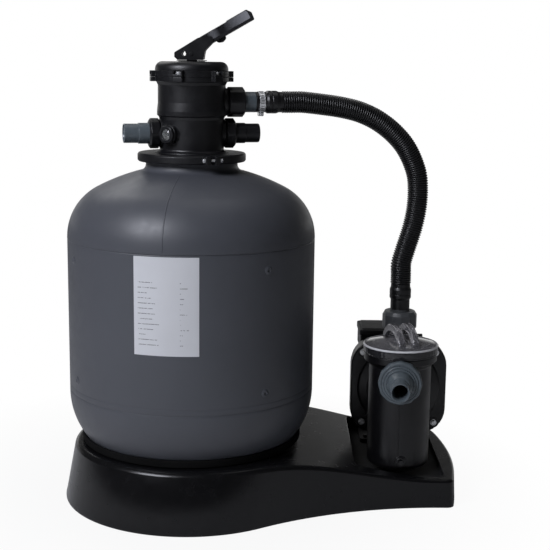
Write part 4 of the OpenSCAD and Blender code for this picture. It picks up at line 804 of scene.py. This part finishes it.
def make_valve_cap():
    lower = slab(lug_outline(False), CAP_Z, CAP_Z + 5, 1.5, 3)
    upper = slab(lug_outline(True), CAP_Z + 4.4, CAP_FLANGE_TOP, 0.9, 3)
    dome = spun([
        (11, 858), (68, 858), (68, CAP_FLANGE_TOP - 1, 1), (72.8, CAP_FLANGE_TOP + 0.4, 1),
        (72.4, CAP_TOP, 15), (27, CAP_TOP, 1), (26, CAP_TOP + 1, 0.5), (11, CAP_TOP + 1, 0.4)], 144, 8)
    piece("valve_cap", placed(joined(lower, upper, dome), IN_VALVE), valve_black, "valve_cover")
    heads = []
    for turn in LUG_TURNS:
        head = spun([
            (0, 857.5), (5.5, 857.5), (5.5, 863.4, 1.2), (2.7, 864.4, 0.4), (2.4, 862), (0, 861.6)], 28)
        heads.append(placed(head, turned(turn), at(FLANGE_R, 0, 0)))
    piece("cap_screws", placed(joined(*heads), IN_VALVE), zinc_plate, "cover_screws")


def make_sight_glass():
    spot = IN_VALVE @ turned(SIGHT_TURN) @ at(0, -SIGHT_FACE, LOW_PORT_Z) @ FORWARD
    lens = spun([(0, 0.2), (13.8, 0.2, 0.4), (13.8, 4, 0.4), (10.6, 4, 0.8), (6, 6.2, 3), (0, 6.6)], 48)
    piece("sight_lens", placed(lens, spot), sight_clear, "sight_glass")
    ring = spun([
        (14.1, 0.1), (17.6, 0.1, 0.3), (17.6, 5.2, 1.2), (16, 7, 1), (11.4, 7, 0.8), (11, 4.3, 0.3),
        (14.1, 4.2)], 48)
    piece("sight_ring", placed(faceted(ring, 8, 17.6, 1.04, 2), spot), valve_black, "sight_glass_ring")


def union_nut(length, sides=8, chamfer=3.2):
    """A plastic union nut: soft corners, a turned chamfer at each end and a plain hole."""
    hole = COLLAR_R + 0.3
    nut = spun([
        (hole, 0, 0.4), (UNION_R - 1.4, 0, 0.5), (UNION_R, 1.6, 0.6), (UNION_R, length - chamfer, 1.2),
        (UNION_R - chamfer, length, 1), (hole, length, 0.5)], sides * 10)
    return faceted(nut, sides, UNION_R)


def hose_pipe(collar_length, end):
    """A plain hose tail: a collar, and a barrel with a chamfered mouth."""
    return spun([
        (PIPE_BORE_R, 0), (COLLAR_R, 0), (COLLAR_R, collar_length, 0.8), (PIPE_R, collar_length + 0.2, 0.3),
        (PIPE_R, end - 1, 0.6), (PIPE_R - 0.7, end, 0.4), (PIPE_MOUTH_R, end, 0.4),
        (PIPE_BORE_R, end - 6, 2)], 64)


def make_valve_ports():
    nuts = [placed(union_nut(20), turned(turn), at(67, 0, LOW_PORT_Z), ALONG_X) for turn in (0, 180)]
    piece("low_port_unions", placed(joined(*nuts), IN_VALVE), valve_black, "lower_port_nuts")
    for name, node, turn, finish in (("return_pipe", "return_tail", 0, valve_black),
                                     ("waste_pipe", "waste_tail", 180, pipe_grey)):
        pipe = placed(hose_pipe(25, 54), IN_VALVE, turned(turn), at(83, 0, LOW_PORT_Z), ALONG_X)
        piece(name, pipe, finish, node)
    nut = placed(union_nut(34), IN_VALVE, at(72, 0, HIGH_PORT_Z), ALONG_X)
    piece("pump_port_union", nut, valve_black, "pump_port_nut")
    pipe = spun([
        (13.5, 98), (COLLAR_R, 98), (COLLAR_R, 128.6, 0.8), (16.9, 128.8), (16.9, 178, 0.5), (13.5, 178)], 64)
    piece("pump_port_pipe", placed(pipe, IN_VALVE, HIGH_PORT, ALONG_X), pipe_grey, "pump_port_tail")


make_valve_body()
make_valve_cap()
make_sight_glass()
make_valve_ports()


# Selector handle, drawn from the side with its pin at the origin

PIN_Z = 898.024
LEVER_TURN, LEVER_W = radians(30), 34
AT_PIN = at(0, 0, PIN_Z) @ FORWARD
# Along the lever in metres: where a painted highlight pales the film towards the tip, and a painted highlight
# patch nearer the heel
TIP_HIGHLIGHT, HIGHLIGHT_PATCH_START, HIGHLIGHT_PATCH_END = (0.080, 0.132), (0.044, 0.054), (0.058, 0.070)
HIGHLIGHT_GREY = (0.24, 0.245, 0.265, 1)


def on_lever(*corners):
    """Corners (along, above, rounding) of the lever's side, turned up with its pin line."""
    c, s = cos(LEVER_TURN), sin(LEVER_TURN)
    return [(along * c - above * s, along * s + above * c, rounding) for along, above, rounding in corners]


def inlay_highlight_finish():
    """Black grip film with a painted highlight: grey towards the lever's tip, and a paler painted patch
    nearer the heel.
    """
    finish = moulded("inlay_painted_highlight", (0.0075, 0.0075, 0.0085), 0.30, grain=500)
    shader, where = opened(finish)
    ahead = (cos(LEVER_TURN), 0, sin(LEVER_TURN))
    reach = add_node(where.id_data, "VectorMath", {0: where, 1: ahead}, operation="DOT_PRODUCT")
    along = maths("SUBTRACT", reach.outputs["Value"], PIN_Z * MM * sin(LEVER_TURN))
    # Painted highlight: the film is blended to a pale grey towards the tip and in a patch nearer the heel
    tip_highlight = spread(along, 0, 1, *TIP_HIGHLIGHT)
    highlight_patch = times(spread(along, 0, 0.45, *HIGHLIGHT_PATCH_START), spread(along, 1, 0, *HIGHLIGHT_PATCH_END))
    highlighted = blended(maths("MAXIMUM", tip_highlight, highlight_patch), source(shader, "Base Color"), HIGHLIGHT_GREY)
    feed(shader, {"Base Color": highlighted})
    return finish


def softened(width, made):
    """Rounds a piece's sharp edges with a live bevel, ahead of its even shading."""
    edge = made.modifiers.new("soft_edges", "BEVEL")
    edge.width, edge.segments = width * MM, 3
    edge.limit_method, edge.angle_limit = "ANGLE", radians(35)
    even_shading(made)


def make_handle():
    heel = filleted([(-27, -11.3, 2.5), (20.5, -11.3, 1.5), (24.8, -9.7, 1), (26, 0, 3), (28, 8, 8)]
                    + on_lever((50, -1, 10), (52, 10, 0.5), (28, 20.5, 16), (-4, 19.5, 18))
                    + [(-33, 3, 4), (-33, -6, 2)], 5)
    # Teardrop eye behind the pin, seen right through
    eye = arc((-14.1, 0.2), 4.1, 150, 390, 14) + [(-14.1, 8.4)]
    cheeks = [pierced(heel, [eye], side - 6.4, side + 6.4) for side in (-13.4, 13.4)]
    top = slab(filleted(on_lever((2, 11, 3), (52, -1, 4), (56, 12, 2), (28, 20.2, 12), (3, 19.2, 6))), -8, 8)
    whole = placed(joined(*cheeks, top), AT_PIN)
    softened(1.4, piece("handle_heel", whole, valve_black, body="lever", even=False))
    outline = on_lever((24, 1, 4), (46, -2, 14), (141.5, -2, 2.5), (143, 12, 3), (136, 21.5, 4),
                       (92, 21.5, 2), (90, 20, 1), (24, 20, 8))
    lever = slab(filleted(outline), -LEVER_W / 2, LEVER_W / 2)
    outline = on_lever((54, 0, 1), (57, -7, 5), (66, -10.5, 6), (75, -7, 4), (76, 0, 1))
    hook = slab(filleted(outline), -LEVER_W / 4, LEVER_W / 4)
    whole = placed(joined(lever, hook), AT_PIN)
    softened(2, piece("selector_handle", whole, valve_black, "handle", "lever", even=False))
    washer = spun([(11, 884.8), (30, 884.8, 0.3), (30, 886.4, 0.6), (11, 886.4, 0.3)], 72)
    piece("heel_washer", washer, dull_rubber, "handle_washer", "selector")
    # Grip panels let into both sides of the lever; their film carries a painted highlight
    outline = filleted(on_lever((44, 4, 3), (136, 3, 2), (136, 17, 3), (133, 20, 2), (92, 20, 2),
                                (88, 18.4, 2), (42, 18.4, 3)), 3)
    deep, proud = LEVER_W / 2 - 1, LEVER_W / 2 + 0.3
    panels = [slab(outline, low, high, 0.25) for low, high in ((-proud, -deep), (deep, proud))]
    piece("handle_inlay", placed(joined(*panels), AT_PIN), inlay_highlight_finish(), body="lever")


make_handle()


# Neck clamp, hose cuffs and the worm-drive band

CUFF_SLOTS = 20


def make_neck_clamp():
    section = filleted([
        (92.4, 687.7, 0.5), (106.5, 687.7, 2), (108.5, 690.5, 2), (108.5, 701.5, 2), (106, 704.5, 2.5),
        (73.2, 704.5, 0.8), (73.2, 701, 0.3), (100.4, 701), (100.4, 691.4), (92.4, 691.4, 0.3)])
    ear = filleted([(104, 3.9), (117.4, 3.9, 2), (117.4, 15.7, 3), (104, 15.7)])
    for end, turn in (("front", 115), ("rear", -65)):
        band = lathe(section, steps=96, angle=radians(176), start=radians(2))
        ears = [slab(ear, 688.2, 704, 0.8) for _ in range(2)]
        bmesh.ops.scale(ears[1], vec=(-1, 1, 1), verts=ears[1].verts)
        faced_out(ears[1])
        piece("neck_band_" + end, placed(joined(band, *ears), turned(turn)), valve_black, "neck_clamp_" + end)


def hose_cuff():
    """A moulded cuff: plain sleeve, one swelling with a shallow ring, and a thin end."""
    return spun([
        (17.1, 0, 0.3), (20.5, 0, 0.8), (20.5, 21.5, 1), (22.9, 25.5, 1.5), (22.9, 32, 0.5), (22.2, 33, 0.4),
        (22.9, 34, 0.5), (22.9, 43.5, 1.5), (20.8, 49, 1.5), (20.5, 56, 0.8), (17.1, 56, 0.3)], 64)


def make_hose_ends():
    piece("valve_cuff", placed(hose_cuff(), IN_VALVE, at(129, 0, HIGH_PORT_Z), ALONG_X), hose_black,
          "hose_cuff_valve")
    piece("pump_cuff", placed(hose_cuff(), at(440, 112, 365)), hose_black, "hose_cuff_pump")
    spot = IN_VALVE @ at(135, 0, HIGH_PORT_Z) @ ALONG_X
    band = spun([
        (20.6, 0), (21.6, 0, 0.3), (21.9, 1.2, 0.4), (21.65, 1.8, 0.2), (21.65, 10.2, 0.2), (21.9, 10.8, 0.4),
        (21.6, 12, 0.3), (20.6, 12)], 72)
    box = filleted([(21.2, -8, 1), (26.8, -8, 2.5), (28, -5, 2), (28, 5, 2), (26.8, 8, 2.5), (21.2, 8, 1)])
    screw = spun([(0, -13), (3.4, -13, 0.6), (3.4, -9.2, 0.6), (2.6, -8.8), (2.6, 10, 0.5), (0, 10)], 24)
    placed(screw, at(24.6, 0, 6), ALONG_Y)
    whole = joined(band, slab(box, 1, 11, 0.8), screw)
    piece("cuff_band", placed(whole, spot), zinc_plate, "hose_clamp")
    slots = []
    for k in range(CUFF_SLOTS):
        slot = slab([(21.4, -0.55), (21.75, -0.55), (21.75, 0.55), (21.4, 0.55)], 2.6, 9.4)
        slots.append(placed(slot, turned(40 + 280 * k / (CUFF_SLOTS - 1))))
    piece("cuff_band_slots", placed(joined(*slots), spot), seal_rubber)


make_neck_clamp()
make_hose_ends()


# Pump: turned pot, square casing, unions, lid and fittings

PUMP_X, SHAFT_Z = 440, 195
POT_X, POT_Y, LID_Z, PLUG_Z = 431, -8, 314, 84
CASING_HALF, CASING_CORNER, CASING_Y0, CASING_Y1, PLATE_Y = 103, 55, 92, 125, 127
BOLT_TURNS, BOLT_OUT = (45, 135, 225, 315), 78 * sqrt(2)
SUCTION_Z, SUCTION_TURN, DISCHARGE_Y = 257, -5.5, 112
POT, LID, PLUG = at(POT_X, POT_Y, 0), at(POT_X, POT_Y, LID_Z), at(POT_X, POT_Y, PLUG_Z) @ FORWARD
SUCTION = at(POT_X, POT_Y, SUCTION_Z) @ turned(SUCTION_TURN)
DISCHARGE = at(PUMP_X, DISCHARGE_Y, 0)


def square(half, corner):
    return box_outline(-half, -half, half, half, corner, 8)


def at_shaft(y):
    return at(PUMP_X, y, SHAFT_Z) @ ALONG_Y


CASING = at_shaft(CASING_Y0)


def make_pump_housing():
    pot = spun([
        (0, 62), (52, 62, 4), (64, 66, 12), (64, 262), (64, 276, 6), (75, 286, 1.5), (75, 298.2, 1),
        (71.4, 298.6, 0.3), (71.4, 310, 0.6), (62, 310, 0.5), (62, 302, 0.3), (58, 302, 0.5), (58, 68, 8),
        (0, 68)], 128, 5)
    casing = slab(square(CASING_HALF, CASING_CORNER), 0, CASING_Y1 - CASING_Y0, 3.5, 3)
    volute = spun([(0, -7), (70, -7, 3), (86, -3, 4), (90, 0.5), (0, 0.5)], 96)
    inlet = spun([(0, 28), (34, 28), (34, 80, 6), (44, 88, 3), (0, 88)], 64)
    parts = [placed(pot, POT), placed(casing, CASING), placed(volute, CASING), placed(inlet, at_shaft(0))]
    for turn in BOLT_TURNS:
        web = slab([(28, -5), (96, -5), (96, 5), (28, 5)], -8.8, 1, 2)
        pad = spun([(4, -1.2), (11.5, -1.2, 0.6), (12.5, 1), (4, 1)], 36)
        parts += [placed(web, CASING, turned(turn)), placed(pad, CASING, turned(turn), at(BOLT_OUT, 0, 0))]
    tower = slab(filleted([(-28, 1), (28, 1), (28, 33, 6), (-28, 33, 6)]), 60, 106, 2)
    parts.append(placed(tower, at(PUMP_X, CASING_Y0, SHAFT_Z)))
    nozzle = spun([(15, 296), (33, 296), (28, 304, 4), (28, 351, 0.5), (15, 351, 0.5)], 64)
    parts.append(placed(nozzle, DISCHARGE))
    mouth = spun([(20, 30), (40, 50), (36, 62, 5), (31, 66, 3), (31, 93, 0.5), (20, 93, 0.5)], 64)
    parts.append(placed(mouth, SUCTION, FORWARD))
    # Parting line down the pot's front, and the pad of its drain plug
    seam = slab([(-1.3, 60.5), (1.3, 60.5), (0.8, 65.3), (-0.8, 65.3)], 84, 276, 0.3)
    parts.append(placed(seam, POT, turned(180 + SUCTION_TURN)))
    pad = spun([(6, 58), (13, 58), (12, 65.8, 1), (6, 65.8, 0.3)], 40)
    parts.append(placed(pad, PLUG))
    piece("pump_housing", joined(*parts), pump_black, "pump_body")


def make_pump_fittings():
    plug = joined(spun([(0, 66.1), (10, 66.1, 0.4), (10, 68.6, 1), (0, 69)], 40),
                  hexagon(6.4, 68.5, 74, 0.8))
    piece("pot_plug", placed(plug, PLUG), pump_black, "pump_drain_plug")
    screws = []
    for turn in BOLT_TURNS:
        washer = spun([(3, -2.6), (7.2, -2.6, 0.4), (7.2, -1.25, 0.3), (3, -1.25)], 32)
        stem = lathe([(0, 0), (4, 0), (4, 59), (0, 59)], steps=20)
        for shape in (washer, hexagon(5.8, -8, -2.5, 0.9), stem):
            screws.append(placed(shape, CASING, turned(turn), at(BOLT_OUT, 0, 0)))
    piece("casing_screws", joined(*screws), zinc_plate, "casing_bolts")
    plate = slab(square(100, 52), 0.1, 20, 2.5, 3)
    piece("back_plate", placed(plate, at_shaft(PLATE_Y)), pump_black, "seal_plate")
    nut = spun([
        (28.5, 323, 0.3), (34.5, 323, 0.8), (36, 325, 1), (36, 353.5, 1.2), (32.2, 361, 1.2),
        (20.8, 361, 0.4), (20.8, 357), (28.5, 357)], 144)
    faceted(nut, 12, 36, 1.03, 5)
    piece("discharge_union", placed(nut, DISCHARGE), union_grey, "discharge_nut")
    # Suction union: a wide nut with turned steps on its face, and a coned pipe
    nut = spun([
        (31.4, 0, 0.3), (41.5, 0, 1), (43, 2, 1), (43, 15.5, 1.5), (41.2, 18.5, 1), (38, 18.5, 0.6),
        (37.6, 17.4, 0.3), (36.2, 17.4, 0.3), (35.6, 20.6, 1), (33, 20.9, 0.6), (32.6, 19.9, 0.3),
        (31.4, 19.9, 0.3), (30.6, 23.2, 1), (27.4, 24, 0.5), (27.4, 20), (31.4, 19)], 144)
    faceted(nut, 12, 43, 1.025, 3)
    piece("suction_union", placed(nut, SUCTION, at(0, -79, 0), FORWARD), pipe_grey, "suction_nut")
    pipe = spun([
        (PIPE_BORE_R, 0), (29.8, 0), (29.8, 4, 0.3), (27, 4.2, 0.3), (27, 10, 1.5), (22.4, 29, 6),
        (20.8, 32, 1), (19, 32.4, 0.5), (19, 67, 0.6), (18.3, 68, 0.4), (PIPE_MOUTH_R, 68, 0.4),
        (PIPE_BORE_R, 62, 2)], 72, 5)
    piece("suction_pipe", placed(pipe, SUCTION, at(0, -95, 0), FORWARD), pipe_grey, "suction_tail")


LID_RIBS, RIB_SHARE = 48, 0.008
BAR_LONG, BAR_HIGH, BAR_THICK, BAR_HALF, BAR_APART, BAR_TURN = 56, 40, 15, 7, 15, -76


def low_dome(edge, rise, lift, flat=6):
    """Points of a low dome's half section, from its edge in to a small flat at the middle."""
    radius = (edge ** 2 + rise ** 2) / (2 * rise)
    first, last = (degrees(acos(r / radius)) for r in (edge, flat))
    curve = arc((0, rise - radius + lift), radius, first, last, 16)
    return curve + [(0, curve[-1][1])]


def make_pot_lid():
    """Clear screw lid: a smoky ribbed skirt under a hazy dome that carries two arched grip bars."""
    skirt = spun([
        (71.9, 0.2), (72.1, -15), (76.4, -15, 0.8), (76.4, -12.6, 0.5), (75.6, -12, 0.4), (75.9, -1.2),
        (75.9, 0.2)], 192, 5)
    for v in skirt.verts:
        if hypot(v.co.x, v.co.y) > 75.2 and -12.5 < v.co.z < -0.4:
            wave = 1 + RIB_SHARE * (0.5 + 0.5 * cos(LID_RIBS * atan2(v.co.y, v.co.x)))
            v.co.x, v.co.y = v.co.x * wave, v.co.y * wave
    piece("pot_lid_skirt", placed(skirt, LID), lid_smoke, body="lid")
    rim = filleted([(71.9, 0.3), (76.6, 0.3, 0.5), (76.8, 1.6, 0.8), (75.4, 4.2, 1), (73.4, 4.4, 0.6)])
    crown = [(71.9, 0.3)] + rim[1:-1] + low_dome(71.5, 10, 4) + low_dome(59, 9.6, 0.3)[::-1]
    parts = [lathe(crown, steps=144)]
    radius = (BAR_LONG ** 2 + BAR_HIGH ** 2) / (2 * BAR_HIGH)
    swing = degrees(asin(BAR_LONG / radius))
    middle = (0, BAR_HIGH - radius)
    outline = arc(middle, radius, 90 - swing, 90 + swing, 40)
    outline += arc(middle, radius - BAR_THICK, 90 + swing, 90 - swing, 40)
    for side in (-BAR_APART, BAR_APART):
        bar = slab(outline, -BAR_HALF, BAR_HALF, 3.8, 4)
        parts.append(placed(bar, turned(BAR_TURN), at(0, side, 3.8), FORWARD))
    # A pale ring on the rim of the dome: a painted highlight line round the lid's edge
    edge = spun([(74, 3), (77, 0.2, 0.5), (77.3, 2.4, 0.7), (75.2, 5, 0.6)], 144)
    piece("pot_lid_rim_highlight", placed(edge, LID), lid_rim_highlight, body="lid")
    piece("pot_lid", placed(joined(*parts), LID), lid_haze, "strainer_lid", "lid")
    plug = spun([(0, 12), (6.2, 12), (6.2, 17, 1.2), (2, 17.6, 0.4), (1.6, 16.6), (0, 16.6)], 36)
    piece("pot_lid_plug", placed(plug, LID), pump_black, body="lid")


make_pump_housing()
make_pump_fittings()
make_pot_lid()


# Motor: ribbed frame and terminal box

FRAME_Y, FINS = 147, 28
BOX_X0, BOX_X1, BOX_Y0, BOX_Y1, SCREW_IN = 360, 480, 153, 248, 12


def box_slab(grown, corner, low, high, rounding, segments=3, count=6):
    """A slab of the terminal box's outline, grown outwards."""
    outline = box_outline(BOX_X0 - grown, BOX_Y0 - grown, BOX_X1 + grown, BOX_Y1 + grown, corner, count)
    return slab(outline, low, high, rounding, segments)


def make_motor():
    core = spun([
        (54, 0.1), (64, 0.1, 1), (64, 4, 1), (60.5, 5, 0.5), (60.5, 95, 0.5), (64, 96, 1), (64, 99.9, 1),
        (54, 99.9)], 112)
    parts = [placed(core, at_shaft(FRAME_Y))]
    for k in range(FINS):
        fin = slab([(58, -1.6), (69, -1.1), (69, 1.1), (58, 1.6)], 4, 96, 0.6, 1)
        parts.append(placed(fin, at_shaft(FRAME_Y), turned(360 * k / FINS)))
    piece("motor_ribs", joined(*parts), motor_paint, "motor_frame")
    piece("junction_box", box_slab(0, 5, 262, 293.8, 1, 2, 5), box_paint, "terminal_box")
    lid = [box_slab(2, 8, 294.4, 307.5, 2.2), box_slab(-4, 6, 306, 309.8, 1.6)]
    for x in (BOX_X0 + SCREW_IN, BOX_X1 - SCREW_IN):
        for y in (BOX_Y0 + SCREW_IN, BOX_Y1 - SCREW_IN):
            screw = spun([(0, 309), (4, 309), (4, 310, 0.5), (2, 310, 0.2), (1.6, 309.4), (0, 309.4)], 24)
            lid.append(placed(screw, at(x, y, 0)))
    piece("junction_lid", joined(*lid), box_paint, "terminal_box_lid")


make_motor()


# CAD nodes whose shape is right: each is merged, its edges are rounded, and it gets its finish

FINISH_OF_SLOT = {"black_plastic": valve_black, "motor_black": motor_paint, "pvc_grey": pipe_grey,
                  "steel": bright_steel, "rubber": seal_rubber}
OWN_FINISH = {"handle_pin": valve_black, "discharge_tail": union_grey, "fan_cover": motor_paint,
              "pump_foot": pump_black, "cable_gland": pump_black, "foot_screws": pump_black,
              "clamp_bolts": zinc_plate}
EDGE_ROUNDING = 0.6


def refined(node, sharp=32):
    """A rounded copy of a CAD node stands for it."""
    body = next(b for b, members in frame["record"]["behaviour"]["bodies"].items() if node in members)
    slot = next(s["material_slot"] for s in frame["record"]["subparts"] if s["node"] == node)
    shape = bmesh.new()
    shape.from_mesh(frame["nodes"][node].data)
    bmesh.ops.scale(shape, vec=(1 / MM,) * 3, verts=shape.verts)
    bmesh.ops.remove_doubles(shape, verts=shape.verts, dist=0.01)
    bmesh.ops.dissolve_limit(shape, angle_limit=radians(1), verts=shape.verts, edges=shape.edges)
    round_edges(shape, EDGE_ROUNDING, sharp=sharp)
    finish = OWN_FINISH.get(node) or FINISH_OF_SLOT[slot]
    return piece(node + "_made", shape, finish, node, body, slot, sharp)


for name in sorted(set(frame["nodes"]) - stood_for):
    made = refined(name)
    if name == "rotor_spring":
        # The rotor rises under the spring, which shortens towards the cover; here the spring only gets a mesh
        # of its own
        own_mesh(made)


# Stage: a pale floor that fades to white, white behind, and soft light from the upper left

COOL_LIGHT, WHITE = (0.96, 0.98, 1.07), (1.0, 1.0, 1.0)
# Name, place, target, size, power and colour of each light
LIGHTS = (
    ("key", (-1.5, -1.75, 2.2), (0.05, 0.0, 0.5), 1.1, 63.0, COOL_LIGHT),
    ("fill", (2.4, -2.4, 1.2), (0.2, 0.0, 0.4), 1.6, 0.8, WHITE),
    ("top", (0.3, 0.3, 2.8), (0.2, 0.0, 0.5), 1.4, 4.5, WHITE),
    ("back", (-1.3, 2.4, 2.9), (0.1, 0.0, 0.4), 1.6, 18.0, WHITE),
)
FLOOR_SIZE, FADE_SHARE, FADE_REACH = 12.0, (0.90, 1.0), (0.30, 0.80)


def floor_finish():
    """Pale and dull, and to the camera fading to white away from the set."""
    finish = bpy.data.materials.new("pale_floor")
    finish.use_nodes = True
    tree = finish.node_tree
    shader, where = opened(finish)
    grain = spread(noise(where, 3.0), 0.0, 1.0)
    tint = blended(grain, (0.80, 0.80, 0.80, 1), (0.82, 0.82, 0.82, 1))
    feed(shader, {"Base Color": tint, "Roughness": 0.9})
    glow = add_node(tree, "Emission", {"Color": (1, 1, 1, 1), "Strength": 1.0})
    path = add_node(tree, "LightPath")
    far = add_node(tree, "VectorMath", {0: where}, operation="LENGTH").outputs["Value"]
    seen = times(spread(far, *FADE_SHARE, *FADE_REACH), path.outputs["Is Camera Ray"])
    mix = add_node(tree, "MixShader", {0: seen, 1: shader.outputs[0], 2: glow.outputs[0]})
    tree.links.new(mix.outputs[0], tree.nodes["Material Output"].inputs["Surface"])
    return finish


def make_floor():
    shape = bmesh.new()
    bmesh.ops.create_grid(shape, x_segments=4, y_segments=4, size=FLOOR_SIZE)
    floor = object_of("floor", shape, floor_finish())


def make_world():
    """White to the camera and through clear plastic; a dim room to everything else."""
    world = bpy.data.worlds.new("studio")
    scene.world = world
    world.use_nodes = True
    tree = world.node_tree
    tree.nodes.clear()
    path = add_node(tree, "LightPath").outputs
    _, y, z = xyz(add_node(tree, "TexCoord").outputs["Generated"])
    room, white = (
        add_node(tree, "Background", {"Color": (1, 1, 1, 1), "Strength": strength}).outputs[0]
        for strength in (spread(y, 0.03, 0.07, -0.1, 0.5), 1.0))
    # Gloss sees the white backdrop low behind the set, and the dim room elsewhere
    low_behind = times(spread(z, 1.0, 0.0, 0.06, 0.24), spread(y, 0.0, 1.0, 0.55, 0.90))
    glossy = times(path["Is Glossy Ray"], low_behind)
    direct = maths("MAXIMUM", path["Is Camera Ray"], path["Is Transmission Ray"])
    mix = add_node(tree, "MixShader", {0: maths("MAXIMUM", direct, glossy), 1: room, 2: white})
    add_node(tree, "OutputWorld", {"Surface": mix.outputs[0]})


def make_lights():
    for name, spot, target, size, power, colour in LIGHTS:
        data = bpy.data.lights.new(name, "AREA")
        data.size, data.energy, data.color = size, power, colour
        lamp = bpy.data.objects.new(name, data)
        lamp.location = spot
        lamp.rotation_euler = (Vector(target) - Vector(spot)).to_track_quat("-Z", "Y").to_euler()
        scene.collection.objects.link(lamp)


make_floor()
make_world()
make_lights()
